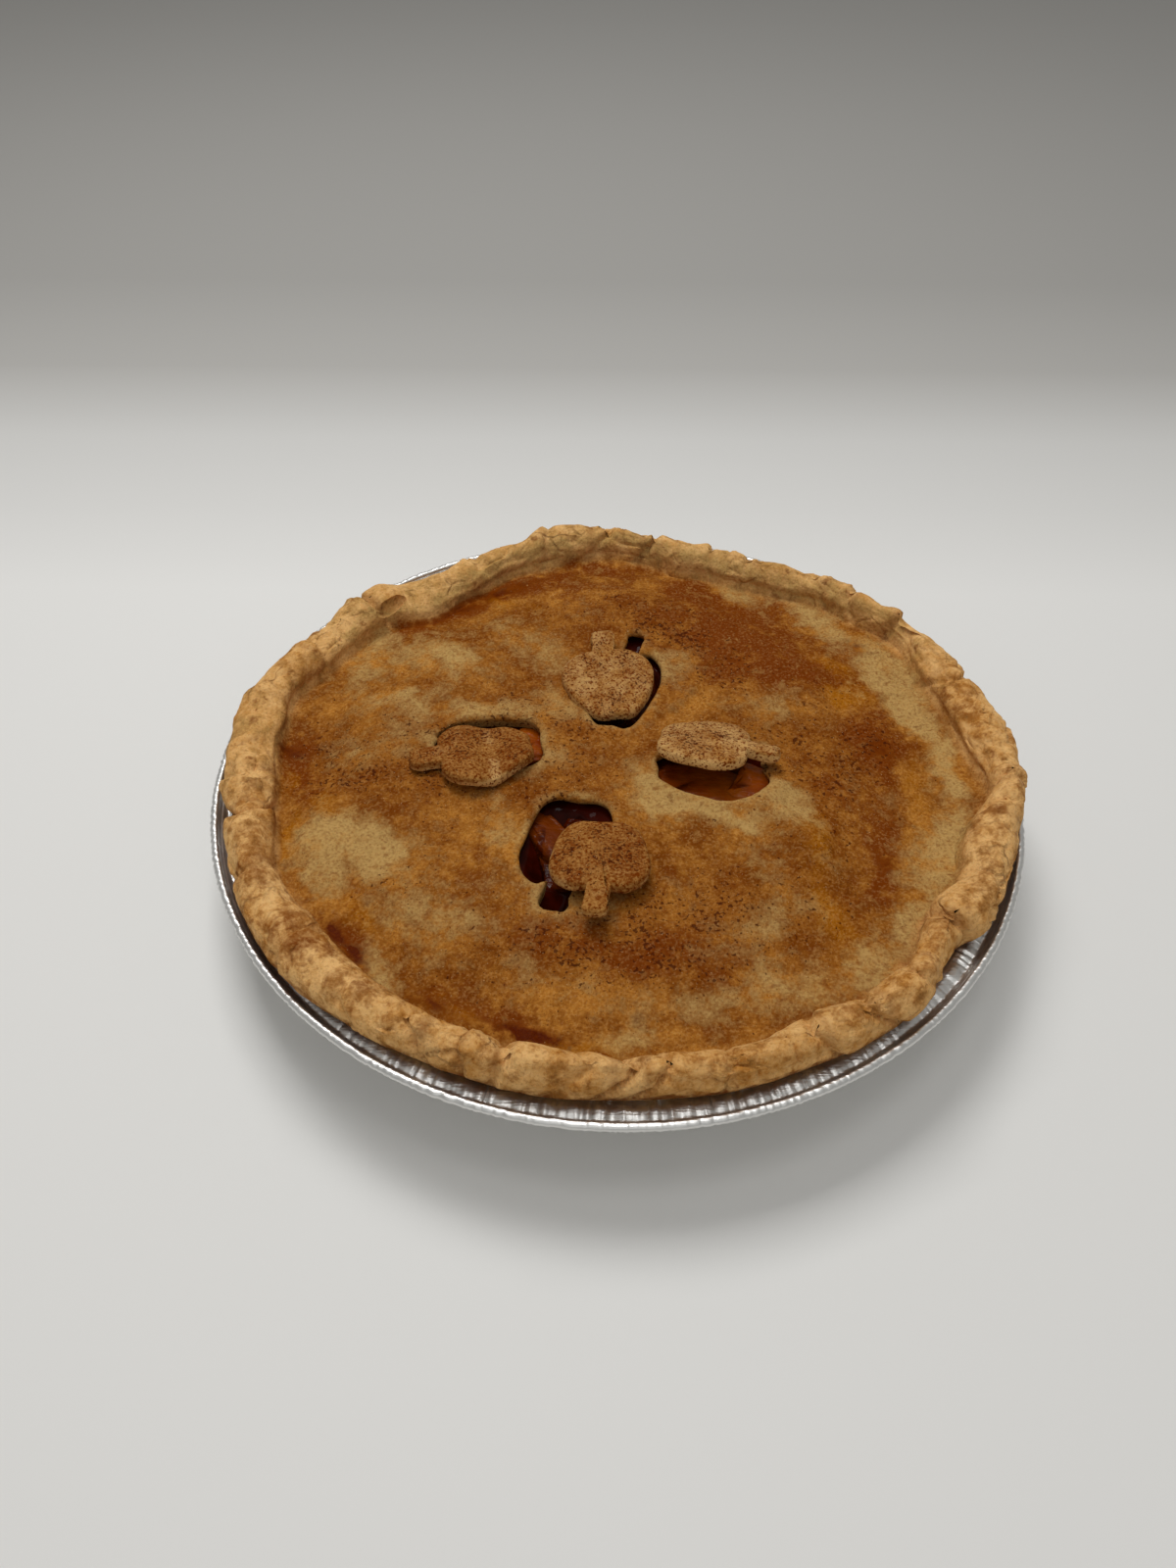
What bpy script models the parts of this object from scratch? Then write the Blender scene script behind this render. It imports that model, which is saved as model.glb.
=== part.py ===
"""A baked apple pie in a round foil tin.

Metres, +Z up. The origin is the centre of the tin's base, on the table, and -Y is the front.
The pie is one pastry shell (bottom crust, rolled rim and lid) round one body of filling. Four
vents shaped like a stemmed fruit are cut through the lid, and the four pastry pieces that came
out of them lie beside or across their vents.
"""

import math

import bmesh
import bpy
from mathutils import Matrix, Vector, noise
from mathutils.bvhtree import BVHTree

MM = 0.001

# Foil tin. The wall stands in for 0.1 mm foil.
RIM_Z = 31.0 * MM  # centre of the rolled bead
BEAD_CENTRE_R = 120.95 * MM
BEAD_R = 1.25 * MM
TIN_BASE_R = 92.0 * MM
TIN_WALL_TOP_R = 111.4 * MM
TIN_WALL_TOP_Z = RIM_Z - 3.4 * MM
FLANGE_OUTER_R = 119.0 * MM
FLANGE_OUTER_Z = RIM_Z - 1.7 * MM
FOIL = 0.45 * MM
TIN_CORNER_Z = 3.0 * MM  # the base rounds into the wall below this
FLUTES = 40
FLUTE_DEPTH = 0.55 * MM

# Pastry.
GAP = 0.35 * MM  # air between pieces that touch
LID_THICKNESS = 3.6 * MM
BOTTOM_THICKNESS = 3.5 * MM
LID_CENTRE_RISE = 7.0 * MM  # above the bead's centre
DITCH_RISE = 2.6 * MM
LID_SHOULDER_R = (64.0 * MM, 100.0 * MM)  # the lid falls between these radii
ROLL_TOP_RISE = 12.3 * MM
ROLL_INNER_R = 104.9 * MM
ROLL_INNER_CENTRE = (2.1 * MM, -1.9 * MM)
ROLL_OUTER_R = 115.9 * MM
ROLL_OUTER_CENTRE = (0.6 * MM, -1.7 * MM)

OUTER_STEPS = 144
INNER_STEPS = 56
TIN_STEPS = 80
OUTER_KEEP = 0.56  # share of the outer surface's triangles kept where it is nearly flat

# Swellings (+) and hollows (-) of the hand-rolled rim: angle and half width in degrees, size in mm.
OUTER_SWELLINGS = (
    (1, 12, 6.2), (24, 11, 3.2), (48, 8, 0.4), (66, 15, -5.6), (80, 6, -2.3), (97, 6, 3.8),
    (110, 6, -2.3), (124, 8, -6.4), (138, 6, 1.9), (175, 14, 4.0), (218, 16, 2.7), (250, 14, -1.3),
    (272, 9, -2.6), (290, 12, -1.9), (318, 4, -3.4), (322, 3, -2.2), (340, 9, 1.2),
)
INNER_SWELLINGS = (
    (31, 7, 5.7), (44, 8, 2.1), (55, 5, -1.6), (66, 9, -4.9), (77, 4, -3.9), (92, 9, 4.0),
    (120, 7, -4.8), (131, 8, -8.4), (166, 6, 4.0), (178, 6, 1.8), (208, 6, 2.5), (296, 5, -2.6),
    (324, 6, -5.4), (340, 6, -3.1), (354, 6, 4.9),
)
TOP_SWELLINGS = (
    (12, 8, 0.8), (80, 9, 0.8), (101, 7, 1.8), (140, 5, 1.2), (162, 5, 0.9), (200, 9, 0.8), (232, 7, -0.7),
    (262, 6, 0.9), (285, 10, -0.6), (310, 8, 0.8), (348, 6, 1.3),
)
# Creases pressed across the roll.
CREASES = (
    (30, 2.4, 2.2), (37, 2.2, 2.0), (52, 2.6, 1.6), (84, 2.2, 1.9), (94, 2.2, 1.8), (108, 2.8, 1.7),
    (133, 2.6, 2.0), (150, 3.0, 1.3), (193, 2.4, 1.8), (214, 3.0, 1.0), (246, 2.4, 1.8), (255, 2.4, 1.5),
    (271, 2.4, 1.7), (296, 2.4, 1.2), (305, 2.4, 1.3), (323, 2.8, 2.2), (357, 3.0, 1.8),
)
# Mounds (+) and dips (-) of the lid: centre x and y, half width along and across, heading in
# degrees, height. All lengths in mm.
MOUNDS = (
    (0, 66, 30, 19, 0, 3.2),      # back mound
    (-52, 40, 26, 18, 130, 1.4),  # left shoulder
    (-82, -32, 15, 10, 120, 2.6),  # front left mound
    (-96, 0, 10, 9, 0, -1.8),     # nook at the left
    (50, -34, 20, 6, 124, 2.2),   # ridge below the right vent
    (9, -7, 8, 8, 0, 1.4),        # bridge between the vents
    (46, -12, 8, 7, 0, 1.2),      # shoulder by the right stem
    (74, 22, 20, 12, 70, -1.6),   # slope at the right
    (92, 20, 34, 8, 82, -1.2),    # wide pale ditch at the right
    (58, 72, 24, 8, 130, -1.0),   # pale ditch at the back right
    (30, -82, 26, 12, 10, 0.9),   # front right swell
    (-44, -66, 18, 12, 140, 0.9),  # front left swell
    (-30, -92, 30, 6, 155, -1.2),  # syrup ditch at the front left
    (36, 78, 18, 8, 145, -1.4),   # hollow at the back right
)
# Narrow swells of the lid's top alone, in the same form: its underside does not follow them.
LIPS = (
    (-12, 84, 24, 7, 0, 1.6),     # crest of the back mound
    (-6, 99, 40, 5, 0, -0.8),     # ditch behind it
    (-38, 17, 13, 4, 0, 1.2),     # lip above the left vent
    (24, -22, 12, 4, 150, 1.2),   # near lip of the right vent
    (42, -23, 9, 4, 40, 1.4),     # and its right half
    (47, -16, 6, 5, 0, 1.2),      # crest by the right stem
    (-31, -36, 4, 14, 0, 0.8),    # left lip of the front vent
    (-14, -15.5, 13, 4, 0, 0.8),  # back lip of the front vent
)
LID_WAVE = 22.0 * MM
LID_WAVE_HEIGHT = 0.8 * MM
ROLL_WAVE = 11.0 * MM
ROLL_WAVE_HEIGHT = 0.9 * MM

# Vents: body centre x and y, heading of the stem in degrees, body length and width, stem length
# and width, and the foot's width as a share of the body's. Lengths in mm.
VENTS = {
    "left": (-38.7, 1.2, 188, 33.0, 27.0, 7.5, 7.5, 0.69),
    "back": (1.8, 28.8, 79, 36.0, 23.6, 9.5, 5.2, 0.56),
    "right": (28.5, -7.4, 3, 33.0, 28.5, 3.0, 4.8, 0.40),
    "front": (-14.4, -37.4, 266, 33.6, 26.6, 8.6, 8.4, 0.82),
}
# Pastry pieces: the same numbers, the tilt about X in degrees (+ raises the back edge) and the height
# of the shoulders as a share of half the length.
PIECES = {
    "left": (-40.0, -4.2, 192, 29.0, 27.5, 7.5, 7.0, 0.48, -8.0, 0.86),
    "back": (-2.1, 28.3, 99, 31.0, 29.4, 6.8, 7.6, 0.50, 5.0, 0.86),
    "right": (26.5, -1.0, -11.5, 28.0, 26.0, 8.0, 5.8, 0.62, -16.0, 0.88),
    "front": (-5.2, -45.0, 268, 28.0, 27.6, 8.0, 6.4, 0.66, -8.0, 0.70),
}
PIECE_THICKNESS = 3.6 * MM
PIECE_EDGE = 1.1 * MM
PIECE_DROOP = 1.1 * MM  # fall of a piece's edge below its middle

# Filling that shows in the vents: bowl half sizes, and apple slices as centre x and y from the
# vent's centre, heading in degrees, half length, half width, and depth of the top under the lid,
# in mm.
BOWL = (15.0, 11.5, 7.5)
SLICE_FOOT = 8.5 * MM  # a slice reaches this far under the lid, into the syrup
SLICES = {
    "left": ((13, 4, 100, 6, 3.6, 0.6), (0, 7, 5, 12, 3.6, 2.2)),
    "back": ((8, 3, 70, 11, 3.4, 2.2), (-3, -8, 150, 9, 4.0, 3.4)),
    "right": ((-4, -4, 150, 13, 6.4, 1.2), (9, -5, 60, 8, 5.6, 0.4)),
    "front": ((-6, 8, 70, 10, 5.2, 1.2), (-1, -5, 85, 12, 4.6, 3.2), (7, 6, 140, 8, 3.6, 1.8)),
}


def clear_scene():
    for obj in list(bpy.data.objects):
        bpy.data.objects.remove(obj, do_unlink=True)


def new_collection(name):
    made = bpy.data.collections.new(name)
    bpy.context.scene.collection.children.link(made)
    return made


def pastry_material(name, colour, roughness=0.7, metallic=0.0):
    """A Principled BSDF from an sRGB hex colour."""
    made = bpy.data.materials.new(name)
    made.use_nodes = True
    channels = [int(colour[i:i + 2], 16) / 255 for i in (0, 2, 4)]
    linear = [c / 12.92 if c <= 0.04045 else ((c + 0.055) / 1.055) ** 2.4 for c in channels]
    shader = made.node_tree.nodes["Principled BSDF"]
    shader.inputs["Base Color"].default_value = (*linear, 1.0)
    shader.inputs["Roughness"].default_value = roughness
    shader.inputs["Metallic"].default_value = metallic
    made.diffuse_color = (*linear, 1.0)
    return made


def flatten(obj):
    """Gives the object its evaluated mesh, welded and facing out, and clears its modifiers."""
    bpy.context.view_layer.update()
    graph = bpy.context.evaluated_depsgraph_get()
    mesh = bpy.data.meshes.new_from_object(obj.evaluated_get(graph), depsgraph=graph)
    if obj.type != "MESH":
        solid = bpy.data.objects.new(obj.name + "_solid", mesh)
        solid.matrix_world = obj.matrix_world
        for owner in obj.users_collection:
            owner.objects.link(solid)
        name = obj.name
        bpy.data.objects.remove(obj, do_unlink=True)
        solid.name = name
        obj = solid
    else:
        obj.modifiers.clear()
        obj.data = mesh
    work = bmesh.new()
    work.from_mesh(mesh)
    bmesh.ops.remove_doubles(work, verts=work.verts, dist=1e-6)
    bmesh.ops.recalc_face_normals(work, faces=work.faces)
    work.to_mesh(mesh)
    work.free()
    return obj


def turned(name, profile, steps, owner):
    """Turns a profile of (radius, height), given top to bottom on its outer side, about Z."""
    mesh = bpy.data.meshes.new(name)
    work = bmesh.new()
    verts = [work.verts.new((r, 0.0, z)) for r, z in profile]
    for a, b in zip(verts, verts[1:]):
        work.edges.new((a, b))
    work.to_mesh(mesh)
    work.free()
    obj = bpy.data.objects.new(name, mesh)
    owner.objects.link(obj)
    screw = obj.modifiers.new("turn", "SCREW")
    screw.angle = math.tau
    screw.steps = screw.render_steps = steps
    screw.use_merge_vertices = True
    screw.merge_threshold = 1e-5
    return flatten(obj)


def swellings(angle, table):
    """Sum of the bumps of a table at an angle in degrees, in metres."""
    total = 0.0
    for centre, half_width, size in table:
        away = (angle - centre + 180.0) % 360.0 - 180.0
        total += size * MM * math.exp(-((away / half_width) ** 2))
    return total


def circle_reach(angle, centre, radius):
    """Distance from the axis to an off-centre circle at an angle in degrees."""
    a = math.radians(angle)
    along = math.cos(a) * centre[0] + math.sin(a) * centre[1]
    return along + math.sqrt(radius ** 2 - centre[0] ** 2 - centre[1] ** 2 + along ** 2)


def roll_inner(angle):
    return circle_reach(angle, ROLL_INNER_CENTRE, ROLL_INNER_R) + swellings(angle, INNER_SWELLINGS)


def roll_outer(angle):
    return circle_reach(angle, ROLL_OUTER_CENTRE, ROLL_OUTER_R) + swellings(angle, OUTER_SWELLINGS)


def smooth_step(value, low, high):
    t = min(max((value - low) / (high - low), 0.0), 1.0)
    return t * t * (3.0 - 2.0 * t)


def lid_height(x, y, swells=MOUNDS + LIPS):
    """Height of the lid's top above the table."""
    rho = math.hypot(x, y)
    rise = LID_CENTRE_RISE + (DITCH_RISE - LID_CENTRE_RISE) * smooth_step(rho, *LID_SHOULDER_R)
    for cx, cy, along, across, heading, height in swells:
        a = math.radians(heading)
        dx, dy = x - cx * MM, y - cy * MM
        u = (dx * math.cos(a) + dy * math.sin(a)) / (along * MM)
        v = (-dx * math.sin(a) + dy * math.cos(a)) / (across * MM)
        rise += height * MM * math.exp(-(u * u + v * v))
    edge = 1.0 - smooth_step(rho, 92.0 * MM, 102.0 * MM)
    wave = noise.noise(Vector((x, y, 0.0)) / LID_WAVE + Vector((3.1, 7.7, 0.4)))
    return RIM_Z + rise + LID_WAVE_HEIGHT * wave * edge


def tin_top(rho):
    """Height of the tin's upper surface under the roll, with the bead as a plateau."""
    flange = TIN_WALL_TOP_Z + (FLANGE_OUTER_Z - TIN_WALL_TOP_Z) * min(
        max((rho - TIN_WALL_TOP_R) / (FLANGE_OUTER_R - TIN_WALL_TOP_R), 0.0), 1.0)
    bead = RIM_Z + BEAD_R
    return flange + (bead - flange) * smooth_step(rho, 115.5 * MM, 118.2 * MM)


def tin_wall_inner(z):
    """Radius of the tin's inner wall at a height, with the rounding at the base."""
    share = min(max(z / TIN_WALL_TOP_Z, 0.0), 1.0)
    corner = max(TIN_CORNER_Z - z, 0.0) / (TIN_CORNER_Z - FOIL)
    return TIN_BASE_R + (TIN_WALL_TOP_R - TIN_BASE_R) * share - FOIL * 1.1 - 2.4 * MM * corner


def clear_of_tin(rho, z):
    """Moves a point of the pastry so that it keeps its gap to the tin."""
    if z < TIN_WALL_TOP_Z + 0.8 * MM:
        rho = min(rho, tin_wall_inner(z) - GAP)
        z = max(z, FOIL + GAP)
    else:
        z = max(z, tin_top(rho) + GAP + 0.05 * MM)
    return rho, z


# Nominal section of the pastry: radius, and rise above the bead's centre.
LID_RADII = (0, 12, 24, 35, 46, 56, 66, 75, 83, 90, 96, 100.5)
ROLL_SECTION = (
    (103.0, 2.7), (104.2, 5.2), (104.9, 7.8), (106.4, 10.2), (108.6, 11.8), (111.0, 12.3), (113.2, 11.3),
    (115.0, 9.2), (115.9, 6.4), (115.8, 3.6), (114.9, 1.2), (113.6, -0.8), (112.6, -2.2),
)
NOMINAL_INNER, NOMINAL_OUTER = 104.9 * MM, 115.9 * MM


def outer_profile():
    points = [(r * MM, RIM_Z + 5.0 * MM) for r in LID_RADII]
    points += [(r * MM, RIM_Z + z * MM) for r, z in ROLL_SECTION]
    points.append((tin_wall_inner(TIN_WALL_TOP_Z) - GAP, TIN_WALL_TOP_Z + 0.7 * MM))
    for z in (TIN_WALL_TOP_Z - 0.8 * MM, TIN_CORNER_Z + 0.4 * MM):
        points.append((tin_wall_inner(z) - GAP, z))
    points += [(TIN_BASE_R - 4.5 * MM, FOIL + GAP), (0.0, FOIL + GAP)]
    return points


def form_outer(co):
    """Carries a point of the nominal turned section to the hand-shaped one."""
    rho, z = math.hypot(co.x, co.y), co.z
    if rho < 1e-6:
        return Vector((0.0, 0.0, lid_height(0.0, 0.0) if z > RIM_Z else z))
    theta = math.degrees(math.atan2(co.y, co.x)) % 360.0
    inner, outer = roll_inner(theta), roll_outer(theta)
    on_lid = z > RIM_Z and rho < 101.0 * MM
    if on_lid:
        rho *= 1.0 + (inner / NOMINAL_INNER - 1.0) * smooth_step(rho, 50.0 * MM, 100.0 * MM)
    elif z > TIN_WALL_TOP_Z + 0.5 * MM:
        hold = smooth_step(z, RIM_Z - 3.0 * MM, RIM_Z + 0.5 * MM)
        share = (rho - NOMINAL_INNER) / (NOMINAL_OUTER - NOMINAL_INNER)
        rho += (inner + share * (outer - inner) - rho) * hold
    x, y = rho * co.x / math.hypot(co.x, co.y), rho * co.y / math.hypot(co.x, co.y)
    if on_lid:
        z = lid_height(x, y)
    elif z > RIM_Z - 1.0 * MM:
        rise = (z - RIM_Z) / ROLL_TOP_RISE
        ditch = lid_height(x, y) if rho < inner + 1.0 * MM and rise < 0.3 else z
        crease = swellings(theta, CREASES)
        lump = ROLL_WAVE_HEIGHT * noise.noise(Vector((x, y, z)) / ROLL_WAVE + Vector((1.7, 0.3, 5.1)))
        weight = max(rise, 0.0)
        z = 0.5 * (z + ditch) + weight * (swellings(theta, TOP_SWELLINGS) - 0.9 * crease + lump)
        bulge = smooth_step(rise, 0.0, 0.4)
        middle = 0.5 * (inner + outer)
        rho += bulge * (lump - 0.5 * crease) * (1.0 if rho > middle else -0.6)
    rho, z = clear_of_tin(rho, z)
    scale = rho / math.hypot(co.x, co.y)
    return Vector((co.x * scale, co.y * scale, z))


CAVITY_RADII = (0, 15, 29, 43, 56, 68, 79, 88, 95, 99)


def cavity_profile(inset):
    """The filling's nominal section, drawn in on every side by inset."""
    points = [(max(r * MM - (inset if r > 97 else 0.0), 0.0), RIM_Z) for r in CAVITY_RADII]
    floor = FOIL + GAP + BOTTOM_THICKNESS + inset
    for z in (RIM_Z - 7.0 * MM - inset, floor + 9.0 * MM, floor + 1.5 * MM):
        points.append((tin_wall_inner(z) - GAP - BOTTOM_THICKNESS - 1.0 * MM - inset, z))
    points += [(TIN_BASE_R - 9.5 * MM - inset, floor), (44.0 * MM, floor), (0.0, floor)]
    return points


def form_cavity(co, inset):
    """Sets a point of the filling's upper face under the lid."""
    if co.z < RIM_Z - 0.1 * MM:
        return co.copy()
    x, y = co.x, co.y
    theta = math.degrees(math.atan2(y, x)) % 360.0
    rho = math.hypot(x, y)
    if rho > 60.0 * MM:
        room = min(roll_inner(theta) / NOMINAL_INNER, 1.0)
        scale = 1.0 + (room - 1.0) * 0.6 * smooth_step(rho, 60.0 * MM, 99.0 * MM)
        x, y = x * scale, y * scale
    drop = 1.2 * MM * smooth_step(rho, 84.0 * MM, 98.0 * MM)
    return Vector((x, y, lid_height(x, y, MOUNDS) - LID_THICKNESS - drop - inset))


def move_points(obj, move):
    for vertex in obj.data.vertices:
        vertex.co = move(vertex.co)
    obj.data.update()


def fruit_outline(length, width, stem_length, stem_width, foot, shoulder=0.97):
    """Outline of a fruit-shaped cutter, in metres: round shoulders beside the stem, straight sides
    and a narrower foot. The stem points along +Y, and the body's middle is the origin. Shoulder is
    their height as a share of half the length. Points run clockwise from the stem's right foot."""
    half, side = 0.5 * length, 0.5 * width
    low = 0.97 - shoulder
    right = [(stem_width / width, 0.90), (0.56, shoulder), (0.88, shoulder - 0.24), (1.0, 0.36 - 0.8 * low),
             (0.95, -0.9 * low), (0.5 * (0.95 + foot) + 0.05, -0.45 - 0.5 * low), (foot + 0.03, -0.84),
             (0.62 * foot, -1.0)]
    body = right + [(0.0, -0.98)] + [(-x, y) for x, y in reversed(right)]
    points = [(x * side, y * half) for x, y in body]
    top, lean = half + stem_length, 0.12 * stem_width
    for x, y in ((-0.56, -0.22), (-0.3, 0.0), (0.3, 0.0), (0.56, -0.22)):
        points.append((x * stem_width + lean, top + y * stem_width))
    return [(x * MM, y * MM) for x, y in points]


def placement(spec, z=0.0):
    """World matrix of an outline, whose own +Y points along the stem's heading."""
    x, y, heading = spec[:3]
    return Matrix.Translation((x * MM, y * MM, z)) @ Matrix.Rotation(math.radians(heading - 90), 4, "Z")


def vent_cutter(name, spec, owner):
    """A straight prism through the lid with the outline of a vent."""
    curve = bpy.data.curves.new(name, "CURVE")
    curve.dimensions = "2D"
    curve.fill_mode = "BOTH"
    curve.extrude = 8.0 * MM
    outline = fruit_outline(*spec[3:8])
    spline = curve.splines.new("POLY")
    spline.points.add(len(outline) - 1)
    for point, (x, y) in zip(spline.points, outline):
        point.co = (x, y, 0.0, 1.0)
    spline.use_cyclic_u = True
    obj = bpy.data.objects.new(name, curve)
    owner.objects.link(obj)
    obj.matrix_world = placement(spec, lid_height(spec[0] * MM, spec[1] * MM) + 1.0 * MM)
    return hide_cutter(flatten(obj))


def ellipsoid(name, centre, half_sizes, rotation, owner, segments=12, rings=8):
    mesh = bpy.data.meshes.new(name)
    work = bmesh.new()
    bmesh.ops.create_uvsphere(work, u_segments=segments, v_segments=rings, radius=1.0)
    bmesh.ops.transform(work, matrix=Matrix.Diagonal((*half_sizes, 1.0)), verts=work.verts)
    work.to_mesh(mesh)
    work.free()
    obj = bpy.data.objects.new(name, mesh)
    owner.objects.link(obj)
    obj.matrix_world = Matrix.Translation(centre) @ rotation
    return obj


def hide_cutter(obj):
    obj.hide_render = True
    obj.display_type = "WIRE"
    return obj


def cut(obj, cutter, operation="DIFFERENCE"):
    boolean = obj.modifiers.new(operation.lower(), "BOOLEAN")
    boolean.operation = operation
    boolean.solver = "EXACT"
    boolean.object = cutter


def crust(owner, cutters):
    """The pastry shell: outer form, less the filling's room, the vents and two open folds."""
    obj = turned("pastry_crust", outer_profile(), OUTER_STEPS, owner)
    move_points(obj, form_outer)
    seen = obj.vertex_groups.new(name="seen")
    seen.add([v.index for v in obj.data.vertices if v.co.z > RIM_Z + 1.0 * MM], 1.0, "REPLACE")
    thin = obj.modifiers.new("fewer faces where flat", "DECIMATE")
    thin.decimate_type = "COLLAPSE"
    thin.ratio = OUTER_KEEP
    thin.vertex_group = "seen"
    obj = flatten(obj)

    def clear(co):
        rho = math.hypot(co.x, co.y)
        if rho < 60.0 * MM:
            return Vector((co.x, co.y, max(co.z, FOIL + GAP)))
        kept, z = clear_of_tin(rho, co.z)
        return Vector((co.x * kept / rho, co.y * kept / rho, z))

    move_points(obj, clear)
    room = hide_cutter(turned("filling_room", cavity_profile(0.0), INNER_STEPS, cutters))
    move_points(room, lambda co: form_cavity(co, 0.0))
    cut(obj, room)
    for name, spec in VENTS.items():
        cut(obj, vent_cutter("vent_" + name, spec, cutters))
    for name, angle, rho, rise, half_sizes in (
        ("right_fold", -4.0, 106.0, 7.6, (7.5, 3.0, 2.2)),
        ("back_left_fold", 139.0, 101.0, 10.6, (6.5, 2.2, 3.2)),
    ):
        a = math.radians(angle)
        centre = Vector((rho * MM * math.cos(a), rho * MM * math.sin(a), RIM_Z + rise * MM))
        turn = Matrix.Rotation(a + math.pi / 2, 4, "Z")
        hollow = ellipsoid(name, centre, [h * MM for h in half_sizes], turn, cutters, 10, 6)
        cut(obj, hide_cutter(hollow))
    return obj


def filling(owner, cutters):
    """The filling, from one side of the pie to the other, with apple slices fused on in the vents."""
    obj = turned("filling", cavity_profile(GAP), INNER_STEPS, owner)
    move_points(obj, lambda co: form_cavity(co, GAP))
    fused = bpy.data.collections.new("slices")
    for name, spec in VENTS.items():
        x, y, heading = spec[:3]
        under = lid_height(x * MM, y * MM, MOUNDS) - LID_THICKNESS - GAP
        bowl = ellipsoid("bowl_" + name, (x * MM, y * MM, under + 1.5 * MM), [b * MM for b in BOWL],
                         Matrix.Rotation(math.radians(heading), 4, "Z"), cutters, 14, 8)
        cut(obj, hide_cutter(bowl))
        for i, (dx, dy, turn, along, across, drop) in enumerate(SLICES[name]):
            at = (x + dx) * MM, (y + dy) * MM
            half_height = 0.5 * (SLICE_FOOT - drop * MM)
            centre = (*at, under - drop * MM - half_height)
            ellipsoid(f"slice_{name}_{i}", centre, (along * MM, across * MM, half_height),
                      Matrix.Rotation(math.radians(turn), 4, "Z"), fused, 10, 6)
    obj = flatten(obj)
    bpy.context.scene.collection.children.link(fused)
    union = obj.modifiers.new("union", "BOOLEAN")
    union.operation = "UNION"
    union.operand_type = "COLLECTION"
    union.collection = fused
    union.solver = "EXACT"
    obj = flatten(obj)
    for part in list(fused.objects):
        bpy.data.objects.remove(part, do_unlink=True)
    bpy.data.collections.remove(fused)
    return obj


def piece(name, spec, owner):
    """One pastry piece: the outline filled with rings, thickened, rounded and bent a little."""
    outline = fruit_outline(*spec[3:8], shoulder=spec[9])
    mesh = bpy.data.meshes.new(name)
    work = bmesh.new()
    made = bmesh.ops.create_circle(work, cap_ends=True, cap_tris=True, segments=len(outline), radius=1.0)
    rim = sorted((v for v in made["verts"] if v.co.length > 0.5),
                 key=lambda v: math.atan2(v.co.y, v.co.x), reverse=True)
    spokes = [e for e in work.edges if min(v.co.length for v in e.verts) < 0.5]
    for vertex, (x, y) in zip(rim, outline):
        vertex.co = (x, y, 0.0)
    bmesh.ops.subdivide_edges(work, edges=spokes, cuts=1)
    reach = 0.5 * spec[3] * MM
    for vertex in work.verts:
        away = vertex.co.xy.length / reach
        vertex.co.z = -PIECE_DROOP * min(away, 1.2) ** 2
        vertex.co.z += 0.5 * MM * noise.noise(Vector((vertex.co.x, vertex.co.y, spec[0] * MM)) / (9 * MM))
    bmesh.ops.recalc_face_normals(work, faces=work.faces)
    if sum(f.normal.z for f in work.faces) < 0:
        bmesh.ops.reverse_faces(work, faces=work.faces)
    work.to_mesh(mesh)
    work.free()
    obj = bpy.data.objects.new(name, mesh)
    owner.objects.link(obj)
    thick = obj.modifiers.new("thickness", "SOLIDIFY")
    thick.thickness = PIECE_THICKNESS
    thick.offset = -1.0
    thick.use_even_offset = False
    edge = obj.modifiers.new("baked edge", "BEVEL")
    edge.width = PIECE_EDGE
    edge.segments = 1
    edge.limit_method = "ANGLE"
    edge.angle_limit = math.radians(50)
    obj = flatten(obj)
    obj.matrix_world = (Matrix.Translation((spec[0] * MM, spec[1] * MM, RIM_Z + 40 * MM))
                        @ Matrix.Rotation(math.radians(spec[8]), 4, "X")
                        @ Matrix.Rotation(math.radians(spec[2] - 90), 4, "Z"))
    return obj


def settle(obj, below):
    """Lowers a piece straight down until it rests on the objects below it, less the gap."""
    bpy.context.view_layer.update()
    graph = bpy.context.evaluated_depsgraph_get()
    down, up = Vector((0, 0, -1)), Vector((0, 0, 1))
    verts = [obj.matrix_world @ v.co for v in obj.data.vertices]
    faces = [tuple(p.vertices) for p in obj.data.polygons]
    tree = BVHTree.FromPolygons(verts, faces)
    reach = max((v.xy - obj.matrix_world.translation.xy).length for v in verts)
    nearest = 1.0
    for other in below:
        mesh = other.evaluated_get(graph).to_mesh()
        points = [other.matrix_world @ v.co for v in mesh.vertices]
        ground = BVHTree.FromPolygons(points, [tuple(p.vertices) for p in mesh.polygons])
        for v in verts:
            hit = ground.ray_cast(v, down)
            if hit[0] is not None:
                nearest = min(nearest, hit[3])
        for p in points:
            if (p.xy - obj.matrix_world.translation.xy).length < reach:
                hit = tree.ray_cast(p, up)
                if hit[0] is not None:
                    nearest = min(nearest, hit[3])
        other.evaluated_get(graph).to_mesh_clear()
    obj.matrix_world.translation.z -= nearest - 1.3 * GAP


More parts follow.
